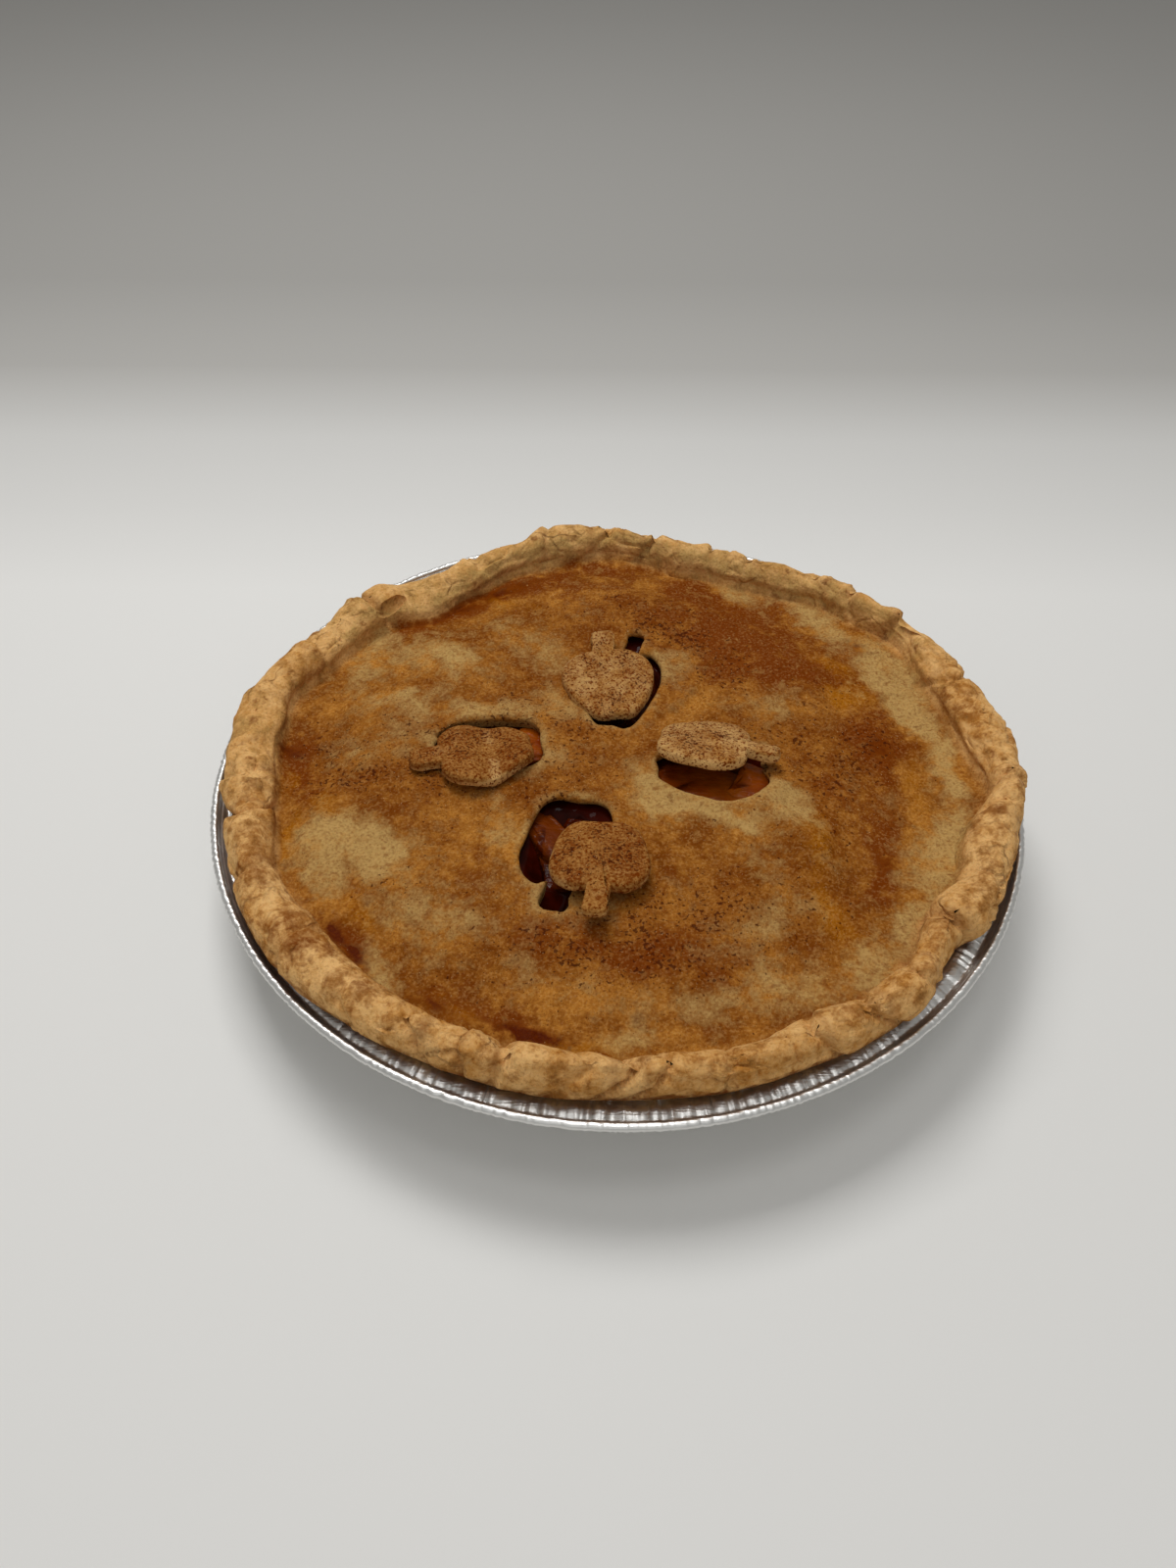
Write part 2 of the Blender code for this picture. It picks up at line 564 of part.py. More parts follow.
def tin(owner):
    """The foil tin: base, fluted wall, sloping flange and rolled bead."""
    inner_wall = [(tin_wall_inner(z), z) for z in (FOIL, TIN_CORNER_Z, TIN_WALL_TOP_Z * 0.55)]
    profile = [(0.0, FOIL), (60.0 * MM, FOIL)] + inner_wall
    profile += [(TIN_WALL_TOP_R - FOIL, TIN_WALL_TOP_Z), (FLANGE_OUTER_R, FLANGE_OUTER_Z)]
    for degrees in (205, 150, 100, 50, 0, -55, -105):
        a = math.radians(degrees)
        profile.append((BEAD_CENTRE_R + BEAD_R * math.cos(a), RIM_Z + BEAD_R * math.sin(a)))
    profile += [(FLANGE_OUTER_R + 0.2 * MM, FLANGE_OUTER_Z - FOIL), (TIN_WALL_TOP_R, TIN_WALL_TOP_Z - FOIL)]
    profile += [(tin_wall_inner(TIN_WALL_TOP_Z * 0.55) + FOIL * 1.1, TIN_WALL_TOP_Z * 0.55)]
    profile += [(TIN_BASE_R + 1.0 * MM, 1.4 * MM), (TIN_BASE_R - 1.2 * MM, 0.0), (0.0, 0.0)]
    obj = turned("foil_tin", profile, TIN_STEPS, owner)

    def flute(co):
        rho = math.hypot(co.x, co.y)
        if rho < TIN_BASE_R - 3.0 * MM or co.z > TIN_WALL_TOP_Z - 1.0 * MM or co.z < 2.0 * MM:
            return co.copy()
        wave = 0.5 + 0.5 * math.cos(FLUTES * math.atan2(co.y, co.x))
        scale = 1.0 + FLUTE_DEPTH * wave / rho
        return Vector((co.x * scale, co.y * scale, co.z))

    move_points(obj, flute)
    return obj


def main():
    clear_scene()
    pie = new_collection("apple_pie")
    cutters = new_collection("cutters")
    foil = pastry_material("aluminium foil", "C9CACB", 0.28, 1.0)
    baked = pastry_material("baked pastry", "B98A50", 0.72)
    syrup = pastry_material("apple filling", "5A2410", 0.25)
    sugared = pastry_material("sugared pastry", "B07A46", 0.75)

    tin_obj = tin(pie)
    crust_obj = crust(pie, cutters)
    filling_obj = filling(pie, cutters)
    for obj, look in ((tin_obj, foil), (crust_obj, baked), (filling_obj, syrup)):
        obj.data.materials.clear()
        obj.data.materials.append(look)
    for name, spec in PIECES.items():
        obj = piece("cutout_" + name, spec, pie)
        settle(obj, (crust_obj, filling_obj))
        obj.data.materials.append(sugared)
    for obj in pie.objects:
        obj.data.shade_smooth()
        obj.data.set_sharp_from_angle(angle=math.radians(40))
    bpy.context.view_layer.update()


main()
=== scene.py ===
"""A baked apple pie in a fluted foil tin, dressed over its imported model.

Every length is in metres, or in millimetres times MM. +Z is up, -Y is the front, and the origin is
the centre of the tin's base.
"""

import logging
import math
from dataclasses import dataclass, field
from enum import Enum
from functools import partial
from typing import Any, Callable, Sequence

import bmesh
import bpy
import numpy as np
from mathutils import Matrix, Vector, noise

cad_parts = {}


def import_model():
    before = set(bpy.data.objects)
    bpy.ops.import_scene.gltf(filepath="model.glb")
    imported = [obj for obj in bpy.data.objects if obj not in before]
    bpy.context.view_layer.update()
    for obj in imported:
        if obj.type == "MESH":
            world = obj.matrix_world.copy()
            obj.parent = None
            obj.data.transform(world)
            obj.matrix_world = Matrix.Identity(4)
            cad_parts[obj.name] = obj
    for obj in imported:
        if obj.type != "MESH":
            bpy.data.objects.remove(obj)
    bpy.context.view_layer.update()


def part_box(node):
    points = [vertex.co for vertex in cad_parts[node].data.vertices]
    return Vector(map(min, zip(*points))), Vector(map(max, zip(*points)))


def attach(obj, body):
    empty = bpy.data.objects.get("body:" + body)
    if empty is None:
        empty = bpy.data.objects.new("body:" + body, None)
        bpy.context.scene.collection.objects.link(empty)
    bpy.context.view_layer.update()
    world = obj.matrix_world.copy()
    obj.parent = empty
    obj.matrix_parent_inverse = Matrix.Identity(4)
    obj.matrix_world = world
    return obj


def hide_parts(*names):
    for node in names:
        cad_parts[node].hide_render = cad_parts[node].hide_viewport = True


MM = 0.001
LOG = logging.getLogger("pie")

Bumps = Sequence[tuple[float, float, float]]
Patches = Sequence[tuple[float, float, float, float, float, float]]

# Node kinds and settings that the trees share.
MATH, RANGE, NOISE, MIX = "ShaderNodeMath", "ShaderNodeMapRange", "ShaderNodeTexNoise", "ShaderNodeMix"
SPLIT, JOIN, BUMP = "ShaderNodeSeparateXYZ", "ShaderNodeCombineXYZ", "ShaderNodeBump"
PLUS, MINUS, TIMES = {"operation": "ADD"}, {"operation": "SUBTRACT"}, {"operation": "MULTIPLY"}
COLOUR, SOFTLY = {"data_type": "RGBA"}, {"interpolation_type": "SMOOTHSTEP"}
# Where a colour mix takes its two colours.
MIX_A, MIX_B = 6, 7

# The hand-rolled rim: angle and half width in degrees, size in mm. The sizes of the outer and inner
# swellings were solved by least squares from points picked on the photo, then rounded.
OUTER_SWELLINGS: Bumps = (
    (1, 12, 6.2), (24, 11, 3.2), (48, 8, 0.4), (66, 15, -5.6), (80, 6, -2.3), (97, 6, 3.8), (110, 6, -2.3),
    (124, 8, -6.4), (138, 6, 1.9), (175, 14, 4.0), (218, 16, 2.7), (250, 14, -1.3), (272, 9, -2.6),
    (290, 12, -1.9), (318, 4, -3.4), (322, 3, -2.2), (340, 9, 1.2),
)
INNER_SWELLINGS: Bumps = (
    (31, 7, 5.7), (44, 8, 2.1), (55, 5, -1.6), (66, 9, -4.9), (77, 4, -3.9), (92, 9, 4.0), (120, 7, -4.8),
    (131, 8, -8.4), (166, 6, 4.0), (178, 6, 1.8), (208, 6, 2.5), (296, 5, -2.6), (324, 6, -5.4),
    (340, 6, -3.1), (354, 6, 4.9),
)
TOP_SWELLINGS: Bumps = (
    (12, 8, 0.8), (80, 9, 0.8), (101, 7, 1.8), (140, 5, 1.2), (162, 5, 0.9), (200, 9, 0.8), (232, 7, -0.7),
    (262, 6, 0.9), (285, 10, -0.6), (310, 8, 0.8), (348, 6, 1.3),
)
CREASES: Bumps = (
    (30, 2.4, 2.2), (37, 2.2, 2.0), (52, 2.6, 1.6), (84, 2.2, 1.9), (94, 2.2, 1.8), (108, 2.8, 1.7),
    (133, 2.6, 2.0), (150, 3.0, 1.3), (193, 2.4, 1.8), (214, 3.0, 1.0), (246, 2.4, 1.8), (255, 2.4, 1.5),
    (271, 2.4, 1.7), (296, 2.4, 1.2), (305, 2.4, 1.3), (323, 2.8, 2.2), (357, 3.0, 1.8),
)
# Narrow tucks pressed into the roll with the fingers, finer than the creases.
TUCKS: Bumps = (
    (18, 0.8, 1.1), (33, 0.9, 1.4), (41, 0.7, 1.3), (47, 0.8, 1.2), (61, 0.9, 0.8), (70, 0.7, 0.9),
    (84.5, 0.8, 1.6), (94.3, 0.8, 1.6), (104, 0.8, 1.0), (116, 0.9, 0.8), (141, 0.8, 1.6), (158, 0.9, 1.1),
    (170, 0.8, 0.9), (186, 0.8, 0.9), (193.5, 0.8, 1.9), (206, 0.9, 0.8), (222, 0.9, 0.9), (235, 0.8, 0.8),
    (244.5, 0.7, 1.5), (250, 0.7, 1.2), (254.5, 0.6, 1.5), (263, 0.8, 0.8), (269, 0.7, 1.5),
    (273, 0.6, 1.2), (283, 0.9, 0.8), (296.5, 0.7, 1.2), (305.5, 0.7, 1.3), (314, 0.8, 0.9),
    (323.5, 0.8, 1.7), (331, 0.8, 0.9), (345, 0.9, 1.0), (352, 0.8, 1.5),
)
# The lid: centre x and y, half width along and across, heading in degrees, height or strength.
MOUNDS: Patches = (
    (0, 66, 30, 19, 0, 3.2), (-52, 40, 26, 18, 130, 1.4), (-82, -32, 15, 10, 120, 2.6),
    (-96, 0, 10, 9, 0, -1.8), (50, -34, 20, 6, 124, 2.2), (9, -7, 8, 8, 0, 1.4), (46, -12, 8, 7, 0, 1.2),
    (74, 22, 20, 12, 70, -1.6), (92, 20, 34, 8, 82, -1.2), (58, 72, 24, 8, 130, -1.0),
    (30, -82, 26, 12, 10, 0.9), (-44, -66, 18, 12, 140, 0.9), (-30, -92, 30, 6, 155, -1.2),
    (36, 78, 18, 8, 145, -1.4),
)
# Swells of the lid's top alone: the back mound's crest and the lips of the vents.
LIPS: Patches = (
    (-12, 84, 24, 7, 0, 1.6), (-6, 99, 40, 5, 0, -0.8), (-38, 17, 13, 4, 0, 1.2),
    (24, -22, 12, 4, 150, 1.2), (42, -23, 9, 4, 40, 1.4), (47, -16, 6, 5, 0, 1.2),
    (-31, -36, 4, 14, 0, 0.8), (-14, -15.5, 13, 4, 0, 0.8),
)
FINE_MOUNDS: Patches = (
    (47, -27, 9, 3.5, 118, 1.2), (57, -42, 14, 3.0, 105, 1.2), (38, -20, 9, 3.0, 20, 0.9),
    (0, 92, 30, 4, 0, 1.0), (27, 78, 20, 4, 128, 1.0), (-70, 8, 14, 9, 90, 0.8),
    (-14, -88, 16, 5, 175, 0.7), (60, 40, 18, 6, 120, 0.8), (-20, 60, 12, 8, 30, -0.7),
    (70, -14, 12, 8, 80, -0.8), (-24, 88, 12, 4, 40, 0.9), (-62, -24, 12, 9, 60, 0.8),
    (16, -60, 16, 8, 0, -0.7), (80, -50, 12, 6, 60, 0.7), (-54, 26, 16, 4, 20, 0.7),
    (-40, 60, 14, 4, 150, 0.6), (86, 6, 4, 16, 5, 0.6), (-88, -36, 4, 12, 15, 0.8),
)
# Thin cracks in the lid: ends x, y and x, y, width and depth in mm.
CRACKS = (
    (39, 68, 48, 60, 0.9, 1.0), (43, -66, 58, -66.5, 0.45, 0.5), (58, -66.5, 66, -64, 0.4, 0.4),
    (-24, 82, -12, 94, 0.9, 0.6), (-12, 94, 8, 97, 0.9, 0.5), (17, 93, 38, 67, 1.0, 0.8),
    (48, -20, 58, -44, 1.1, 0.5), (-60, 19, -50, 24, 0.9, 0.5), (-96, -44, -90, -26, 1.2, 0.6),
)
# Colour patches in the same form as MOUNDS, with a strength from 0 to 1.
# In BROWN, the patches along the roll's foot at the back left, such as (-42, 80), (-64, 66) and (-60, 76),
# are painted shade where the roll shades the lid.
BROWN: Patches = (
    (80, 2, 7, 18, 8, 1.0), (86, 16, 6, 10, 0, 0.8), (76, -38, 7, 14, -8, 0.95), (72, -52, 5, 8, 0, 0.6),
    (72, 37, 12, 6, 160, 0.95), (50, 45, 22, 9, 140, 1.1), (36, 62, 20, 9, 120, 0.85),
    (60, 58, 14, 8, 130, 0.95), (78, 55, 8, 5, 120, 0.6), (40, 78, 18, 7, 140, 0.9),
    (22, 84, 10, 12, 10, 0.6), (0, 84, 14, 14, 0, 0.45), (-20, 82, 10, 10, 40, 0.5),
    (-42, 80, 22, 6, 28, 1.6), (36, 38, 16, 10, 140, 0.5), (80, 42, 8, 10, 20, 0.5),
    (58, 80, 14, 6, 140, 0.5), (20, 62, 16, 8, 160, 0.4), (0, 100, 14, 5, 0, 0.7), (100, 0, 4, 14, 0, 0.5),
    (-100, 0, 4, 10, 0, 0.4), (-64, 66, 14, 5, 30, 0.8), (-20, 96, 12, 4, 20, 0.5),
    (4, -72, 26, 7, 0, 0.75), (-22, -66, 16, 8, 160, 0.5), (30, -80, 14, 7, 12, 0.5),
    (54, -80, 8, 7, 60, 0.7), (-98, 2, 7, 14, 0, 0.85), (-90, -14, 8, 12, 20, 0.6),
    (-64, -24, 18, 8, 170, 0.4), (-30, -94, 32, 5, 160, 0.9), (-72, -70, 12, 5, 130, 0.9),
    (60, -60, 6, 12, 20, 0.4), (62, -16, 8, 14, 10, 0.55), (-2, 54, 20, 8, 0, 0.45),
    (4, -80, 12, 6, 0, 0.45), (58, 78, 12, 5, 140, 0.4), (-60, 76, 10, 5, 30, 0.6),
    (-74, -52, 6, 6, 0, 0.45), (-40, -44, 8, 14, 20, 0.4), (-80, 56, 10, 6, 60, 0.35),
    (12, -46, 10, 10, 0, 0.3), (18, 40, 10, 14, 0, 0.4), (100, 30, 3, 8, 20, 0.35),
)
# The syrup patches at (-44, 80) and (-62, 70) are painted shade by the roll's foot at the back left; the rest
# are syrup that soaked through.
SYRUP_AND_SHADE: Patches = (
    (-44, 80, 20, 4.5, 29, 0.5), (-62, 70, 10, 3.5, 34, 0.35), (-76.5, -65, 4.5, 2.0, 122, 1.0),
    (-69, -74, 5, 1.8, 135, 0.75), (-50, -88, 7, 1.5, 150, 0.6), (-22, -97.5, 9, 2.2, 170, 0.95),
    (-36, -93.5, 5, 1.5, 158, 0.5), (76, -42, 4, 3.0, 70, 0.5), (81, 4, 3.5, 6, 0, 0.45),
    (82, 56, 4, 2.5, 120, 0.6), (-101, 4, 2.5, 5, 90, 0.5),
)
PALE: Patches = (
    (-80, -34, 12, 9, 160, 0.95), (-66, -42, 10, 8, 140, 0.6), (-80, -50, 4, 8, 30, 0.5),
    (84, 40, 6, 12, 30, 0.9), (94, 26, 5, 16, 14, 1.1), (100, -2, 5, 18, 4, 1.1),
    (94, -36, 6, 16, -18, 0.9), (70, 70, 16, 6, 128, 0.9), (88, 50, 5, 10, 30, 0.6),
    (44, 88, 12, 5, 150, 0.7), (42, -84, 16, 7, 15, 0.7), (14, -88, 14, 5, 0, 0.5),
    (38, -66, 16, 7, 20, 0.6), (80, -62, 7, 12, -35, 0.8), (66, -76, 10, 6, 40, 0.7),
    (-56, 44, 16, 10, 150, 0.85), (-82, 2, 8, 8, 0, 0.5), (-62, 4, 12, 8, 0, 0.6),
    (-20, -4, 12, 8, 20, 0.6), (-80, 58, 10, 6, 50, 0.7), (-60, -40, 8, 7, 0, 0.4),
    (-60, -82, 8, 4, 140, 0.5), (82, -40, 6, 8, 0, 0.4), (20, 40, 8, 8, 0, 0.6), (-22, 42, 10, 8, 0, 0.45),
    (-60, 22, 12, 6, 0, 0.45), (0, -99, 12, 3, 0, 0.8), (-18, -62, 12, 7, 160, 0.5),
    (30, -20, 16, 8, 170, 0.6), (-3, -60, 8, 6, 0, 0.4), (-80, -36, 10, 8, 0, 0.4),
    (6, -18, 10, 8, 0, 0.45), (44, -4, 10, 8, 0, 0.4), (-42, -62, 14, 8, 150, 0.4),
    (-62, -78, 8, 4, 135, 0.5), (-32, 56, 12, 8, 150, 0.3), (-84, 44, 10, 12, 20, 0.5),
    (-16, 22, 14, 6, 160, 0.7), (-72, 22, 14, 7, 150, 0.4), (30, 22, 14, 7, 20, 0.15),
    (50, 22, 10, 8, 60, 0.5), (49, -24, 7, 4, 120, 1.1), (30, -28, 16, 3.5, 165, 0.9),
    (12, -16, 5, 9, 30, 0.8), (-40, 18, 16, 3, 0, 0.8), (-54, -64, 14, 8, 150, 0.5),
    (-18, -82, 14, 5, 160, 0.35), (44, -46, 8, 10, 20, 0.35), (-32, -28, 3, 12, 0, 0.6),
    (-14, 66, 8, 8, 0, 0.3), (98, 40, 3, 14, 20, 0.9),
)
YELLOW: Patches = (
    (-8, -100, 12, 3, 175, 1.1), (-94, -34, 3, 12, 15, 1.1), (-84, -22, 8, 4, 150, 0.7),
    (-70, -60, 12, 3, 130, 0.8), (72, 44, 8, 4, 150, 0.8), (74, 27, 7, 5, 120, 1.0), (80, 32, 5, 6, 0, 0.6),
    (58, -62, 5, 14, 20, 0.8), (56, -34, 4, 14, 0, 0.7), (52, -80, 8, 5, 50, 0.6), (90, -10, 4, 14, 0, 0.6),
    (-76, 8, 12, 4, 100, 0.4), (-36, 74, 14, 4, 160, 0.6), (-100, -8, 4, 6, 0, 0.6),
    (84, 62, 4, 5, 120, 0.7), (-40, -92, 10, 3, 150, 0.6),
)
SPICE: Patches = (
    (-60, 0, 22, 22, 0, 0.9), (-20, 20, 30, 20, 30, 0.7), (30, 45, 26, 14, 140, 0.9),
    (0, -70, 40, 16, 0, 0.9), (50, -10, 24, 24, 0, 0.7), (40, -60, 26, 16, 20, 0.6),
    (-20, -10, 20, 20, 0, 0.8), (0, 70, 30, 14, 0, 0.5), (-88, -4, 12, 16, 0, 0.8),
    (-60, -50, 18, 14, 140, 0.5), (76, 10, 16, 26, 0, 0.5),
)


class Vent(Enum):
    """The four vents, named for where they are in the lid."""

    LEFT = "left"
    BACK = "back"
    RIGHT = "right"
    FRONT = "front"


@dataclass(frozen=True)
class Fruit:
    """Outline of a fruit-shaped cutter: place in mm, heading in degrees, sizes in mm, foot's share."""

    x: float
    y: float
    heading: float
    length: float
    width: float
    stem_length: float
    stem_width: float
    foot: float
    tilt: float = 0.0
    shoulder: float = 0.97

    def outline(self, count: int = 6) -> np.ndarray:
        """The outline round its own centre, with the stem along +Y.

        Args:
            count: Points to each stretch of the body's smooth curve.

        Returns:
            Points in metres, clockwise from the stem's right foot.
        """
        half, side, foot, low = 0.5 * self.length, 0.5 * self.width, self.foot, 0.97 - self.shoulder
        right = [(self.stem_width / self.width, 0.90), (0.56, self.shoulder), (0.88, self.shoulder - 0.24),
                 (1.0, 0.36 - 0.8 * low), (0.95, -0.9 * low), (0.5 * (0.95 + foot) + 0.05, -0.45 - 0.5 * low),
                 (foot + 0.03, -0.84), (0.62 * foot, -1.0)]
        body = right + [(0.0, -0.98)] + [(-x, y) for x, y in reversed(right)]
        points = smooth_run([(x * side, y * half) for x, y in body], count)
        top, lean = half + self.stem_length, 0.12 * self.stem_width
        tip = [(-0.5, -0.62), (-0.55, -0.3), (-0.46, -0.1), (-0.3, 0.0)]
        points += [(a * self.stem_width + lean, top + b * self.stem_width)
                   for a, b in tip + [(-a, b) for a, b in reversed(tip)]]
        return np.array(points) * MM

    def turn(self) -> Matrix:
        """Rotation about Z that sets the stem along its heading."""
        return Matrix.Rotation(math.radians(self.heading - 90), 4, "Z")

    def to_local(self, x: np.ndarray, y: np.ndarray) -> tuple[np.ndarray, np.ndarray]:
        """Carries places on the pie to the outline's own axes."""
        a = math.radians(self.heading - 90)
        dx, dy = x - self.x * MM, y - self.y * MM
        return dx * math.cos(a) + dy * math.sin(a), -dx * math.sin(a) + dy * math.cos(a)

    def distance(self, x: np.ndarray, y: np.ndarray) -> np.ndarray:
        """Signed distance of places on the pie from the outline, below 0 inside it."""
        lx, ly = self.to_local(x, y)
        near = np.hypot(lx, ly) < 40.0 * MM
        away = np.full(len(x), 1.0)
        away[near] = distance_to_outline(lx[near], ly[near], self.outline())
        return away


# The openings in the lid, and the pieces cut from them, as they lie. The openings were first fitted to
# points picked on the photo, then changed.
VENTS = {
    Vent.LEFT: Fruit(-38.9, 1.5, 188, 32.0, 24.6, 0.4, 7.5, 0.69),
    Vent.BACK: Fruit(1.8, 28.8, 79, 36.0, 23.6, 7.6, 5.2, 0.56),
    Vent.RIGHT: Fruit(28.5, -7.4, 3, 33.0, 28.5, 0.3, 2.4, 0.40),
    Vent.FRONT: Fruit(-13.8, -37.2, 262, 33.4, 26.4, 8.0, 7.6, 0.70),
}
CUT_PIECES = {
    Vent.LEFT: Fruit(-40.0, -3.8, 192, 29.0, 27.5, 7.5, 7.8, 0.48, -8.0, 0.9),
    Vent.BACK: Fruit(-2.1, 29.0, 99, 30.0, 29.4, 6.4, 7.2, 0.50, 5.0, 0.86),
    Vent.RIGHT: Fruit(26.5, -2.0, -11.5, 28.0, 26.0, 8.0, 5.8, 0.62, -16.0, 0.88),
    Vent.FRONT: Fruit(-5.2, -45.8, 268, 28.0, 27.6, 8.0, 6.4, 0.66, -8.0, 0.88),
}
# Slices that show: centre from the vent's centre, heading, half length, half width, depth of the top
# under the lid, roll and pitch in degrees, redness from 0 to 1. Each reaches down to SLICE_FOOT.
SLICES: dict[Vent, tuple[tuple[float, ...], ...]] = {
    Vent.LEFT: (
        (13.4, 5.0, 100, 7.5, 4.6, -0.9, 8, 0, 0.0), (0, 6, 8, 13, 4.5, 2.6, -10, 0, 0.8),
        (-4, -5, 20, 12, 5.0, 3.4, 5, 0, 0.9)),
    Vent.BACK: (
        (8.5, 2, 70, 12, 4.2, 1.4, 20, 0, 0.75), (-2, -9, 165, 9, 4.6, 4.2, -8, 0, 1.0),
        (-5, 5, 60, 12, 5.0, 3.4, 0, 0, 0.9)),
    Vent.RIGHT: (
        (-5.0, -3.2, 168, 15.5, 9.4, -2.0, 8, 2, 0.3), (11.5, -5.5, 60, 8.5, 6.2, -2.3, 6, -8, 0.1),
        (4, 4, 5, 14, 6.0, 3.0, 0, 0, 0.9)),
    Vent.FRONT: (
        (-7.5, 8.5, 122, 12.0, 5.6, -0.8, 10, 4, 0.62), (-3.0, -3, 100, 9.5, 5.0, 2.2, 10, 0, 0.95),
        (6.5, 10.5, 160, 9, 3.6, 1.6, -12, 0, 1.0)),
}
SLICE_FOOT = 8.5


def smooth_run(points: Sequence[tuple[float, float]], count: int) -> list[tuple[float, float]]:
    """Points on a smooth curve through the given ones, with a number of them to each stretch.

    Args:
        points: What the curve passes through.
        count: Points to each stretch.

    Returns:
        The curve's points, both ends included.
    """
    p = np.array(points, float)
    ends = np.vstack([2 * p[0] - p[1], p, 2 * p[-1] - p[-2]])
    made: list[tuple[float, float]] = []
    for i in range(1, len(ends) - 2):
        a, b, c, d = ends[i - 1:i + 3]
        for s in np.linspace(0, 1, count, endpoint=False):
            q = 0.5 * (2 * b + (c - a) * s + (2 * a - 5 * b + 4 * c - d) * s ** 2
                       + (3 * b - a - 3 * c + d) * s ** 3)
            made.append((float(q[0]), float(q[1])))
    return made + [(float(p[-1][0]), float(p[-1][1]))]


def linear(hex_colour: str) -> tuple[float, float, float, float]:
    """Turns an sRGB hex colour to linear RGBA."""
    channels = [int(hex_colour[i:i + 2], 16) / 255 for i in (0, 2, 4)]
    return (*[c / 12.92 if c <= 0.04045 else ((c + 0.055) / 1.055) ** 2.4 for c in channels], 1.0)


def feed(node: bpy.types.Node, inputs: dict[Any, Any] | Sequence[Any]) -> None:
    """Gives a node its inputs.

    Args:
        node: The node.
        inputs: Values, hex colours, sockets or nodes, by name or index, or in the order of its inputs.
            A node stands for the first of its outputs that is in use.
    """
    for key, value in inputs.items() if isinstance(inputs, dict) else enumerate(inputs):
        if isinstance(value, bpy.types.Node):
            value = next(socket for socket in value.outputs if socket.enabled)
        if isinstance(value, bpy.types.NodeSocket):
            node.id_data.links.new(value, node.inputs[key])
        elif isinstance(value, str) and node.inputs[key].type == "RGBA":
            node.inputs[key].default_value = linear(value)
        else:
            node.inputs[key].default_value = value


def add_node(tree: bpy.types.NodeTree, kind: str, inputs: dict[Any, Any] | Sequence[Any] = (),
             **settings: Any) -> bpy.types.Node:
    """Adds a node to a tree.

    Args:
        tree: The shader or geometry tree.
        kind: The node's type name.
        inputs: What feed takes.
        settings: Its properties.

    Returns:
        The new node.
    """
    node = tree.nodes.new(kind)
    for name, value in settings.items():
        setattr(node, name, value)
    feed(node, inputs)
    return node


def new_material(name: str) -> tuple[bpy.types.Material, Callable[..., bpy.types.Node], bpy.types.Node,
                                     bpy.types.NodeSocket]:
    """Makes a material.

    Returns:
        The material, the function that adds its nodes, its shader, and the place on the object.
    """
    material = bpy.data.materials.new(name)
    material.use_nodes = True
    add = partial(add_node, material.node_tree)
    shader = material.node_tree.nodes["Principled BSDF"]
    return material, add, shader, add("ShaderNodeTexCoord").outputs["Object"]


def new_tree(name: str, floats: Sequence[str], whole: Sequence[str] = ()) -> tuple[
        bpy.types.NodeTree, Callable[..., bpy.types.Node], Any]:
    """Makes a Geometry Nodes tree with named inputs.

    Args:
        name: The tree's name.
        floats: Names of its inputs that are real numbers.
        whole: Names of its inputs that are whole numbers.

    Returns:
        The tree, the function that adds its nodes, and the outputs of its input node.
    """
    tree = bpy.data.node_groups.new(name, "GeometryNodeTree")
    sockets = [("Geometry", "INPUT", "Geometry"), *((each, "INPUT", "Float") for each in floats),
               *((each, "INPUT", "Int") for each in whole), ("Geometry", "OUTPUT", "Geometry")]
    for each, side, kind in sockets:
        tree.interface.new_socket(each, in_out=side, socket_type="NodeSocket" + kind)
    add = partial(add_node, tree)
    return tree, add, add("NodeGroupInput").outputs


def two_tone(shade: bpy.types.Node, stops: Sequence[tuple[float, str]]) -> bpy.types.Node:
    """Sets a colour ramp's two ends to places and hex colours."""
    for stop, (position, colour) in zip(shade.color_ramp.elements, stops):
        stop.position, stop.color = position, linear(colour)
    return shade


def smooth(value: np.ndarray, low: float, high: float) -> np.ndarray:
    """Smooth step from 0 at low to 1 at high."""
    t = np.clip((value - low) / (high - low), 0.0, 1.0)
    return t * t * (3.0 - 2.0 * t)


def hump(value: np.ndarray, width: float) -> np.ndarray:
    """1 where a value is 0, dying away over a width on both sides."""
    return np.exp(-((value / width) ** 2))


def bearing(x: np.ndarray, y: np.ndarray) -> np.ndarray:
    """Angles of places round the axis, 0 to 360 degrees."""
    return np.degrees(np.arctan2(y, x)) % 360.0


def past(angle: np.ndarray, centre: float) -> np.ndarray:
    """Degrees from a centre to angles, -180 to 180."""
    return (angle - centre + 180.0) % 360.0 - 180.0


def on_plane(x: np.ndarray, y: np.ndarray) -> np.ndarray:
    """Places on the pie as points at height 0."""
    return np.stack([x, y, np.zeros_like(x)], -1)


def swellings(angle: np.ndarray, table: Bumps) -> np.ndarray:
    """Sum of a table's bumps at angles in degrees, in metres.

    Args:
        angle: Angles round the axis.
        table: Angle, half width and size of each bump.

    Returns:
        One size for each angle.
    """
    total = np.zeros_like(angle)
    for centre, half_width, size in table:
        total += size * MM * hump(past(angle, centre), half_width)
    return total


def patches(x: np.ndarray, y: np.ndarray, table: Patches, power: int = 2) -> np.ndarray:
    """Sum of a table's oval patches at places on the pie, in the table's own units.

    Args:
        x: Places across.
        y: Places towards the back.
        table: The patches.
        power: How steeply they end, 2 for a bell.

    Returns:
        One value for each place.
    """
    total = np.zeros_like(x)
    for cx, cy, along, across, heading, strength in table:
        a = math.radians(heading)
        dx, dy = x - cx * MM, y - cy * MM
        u = (dx * math.cos(a) + dy * math.sin(a)) / (along * MM)
        v = (-dx * math.sin(a) + dy * math.cos(a)) / (across * MM)
        total += strength * np.exp(-((u * u + v * v) ** (power / 2)))
    return total


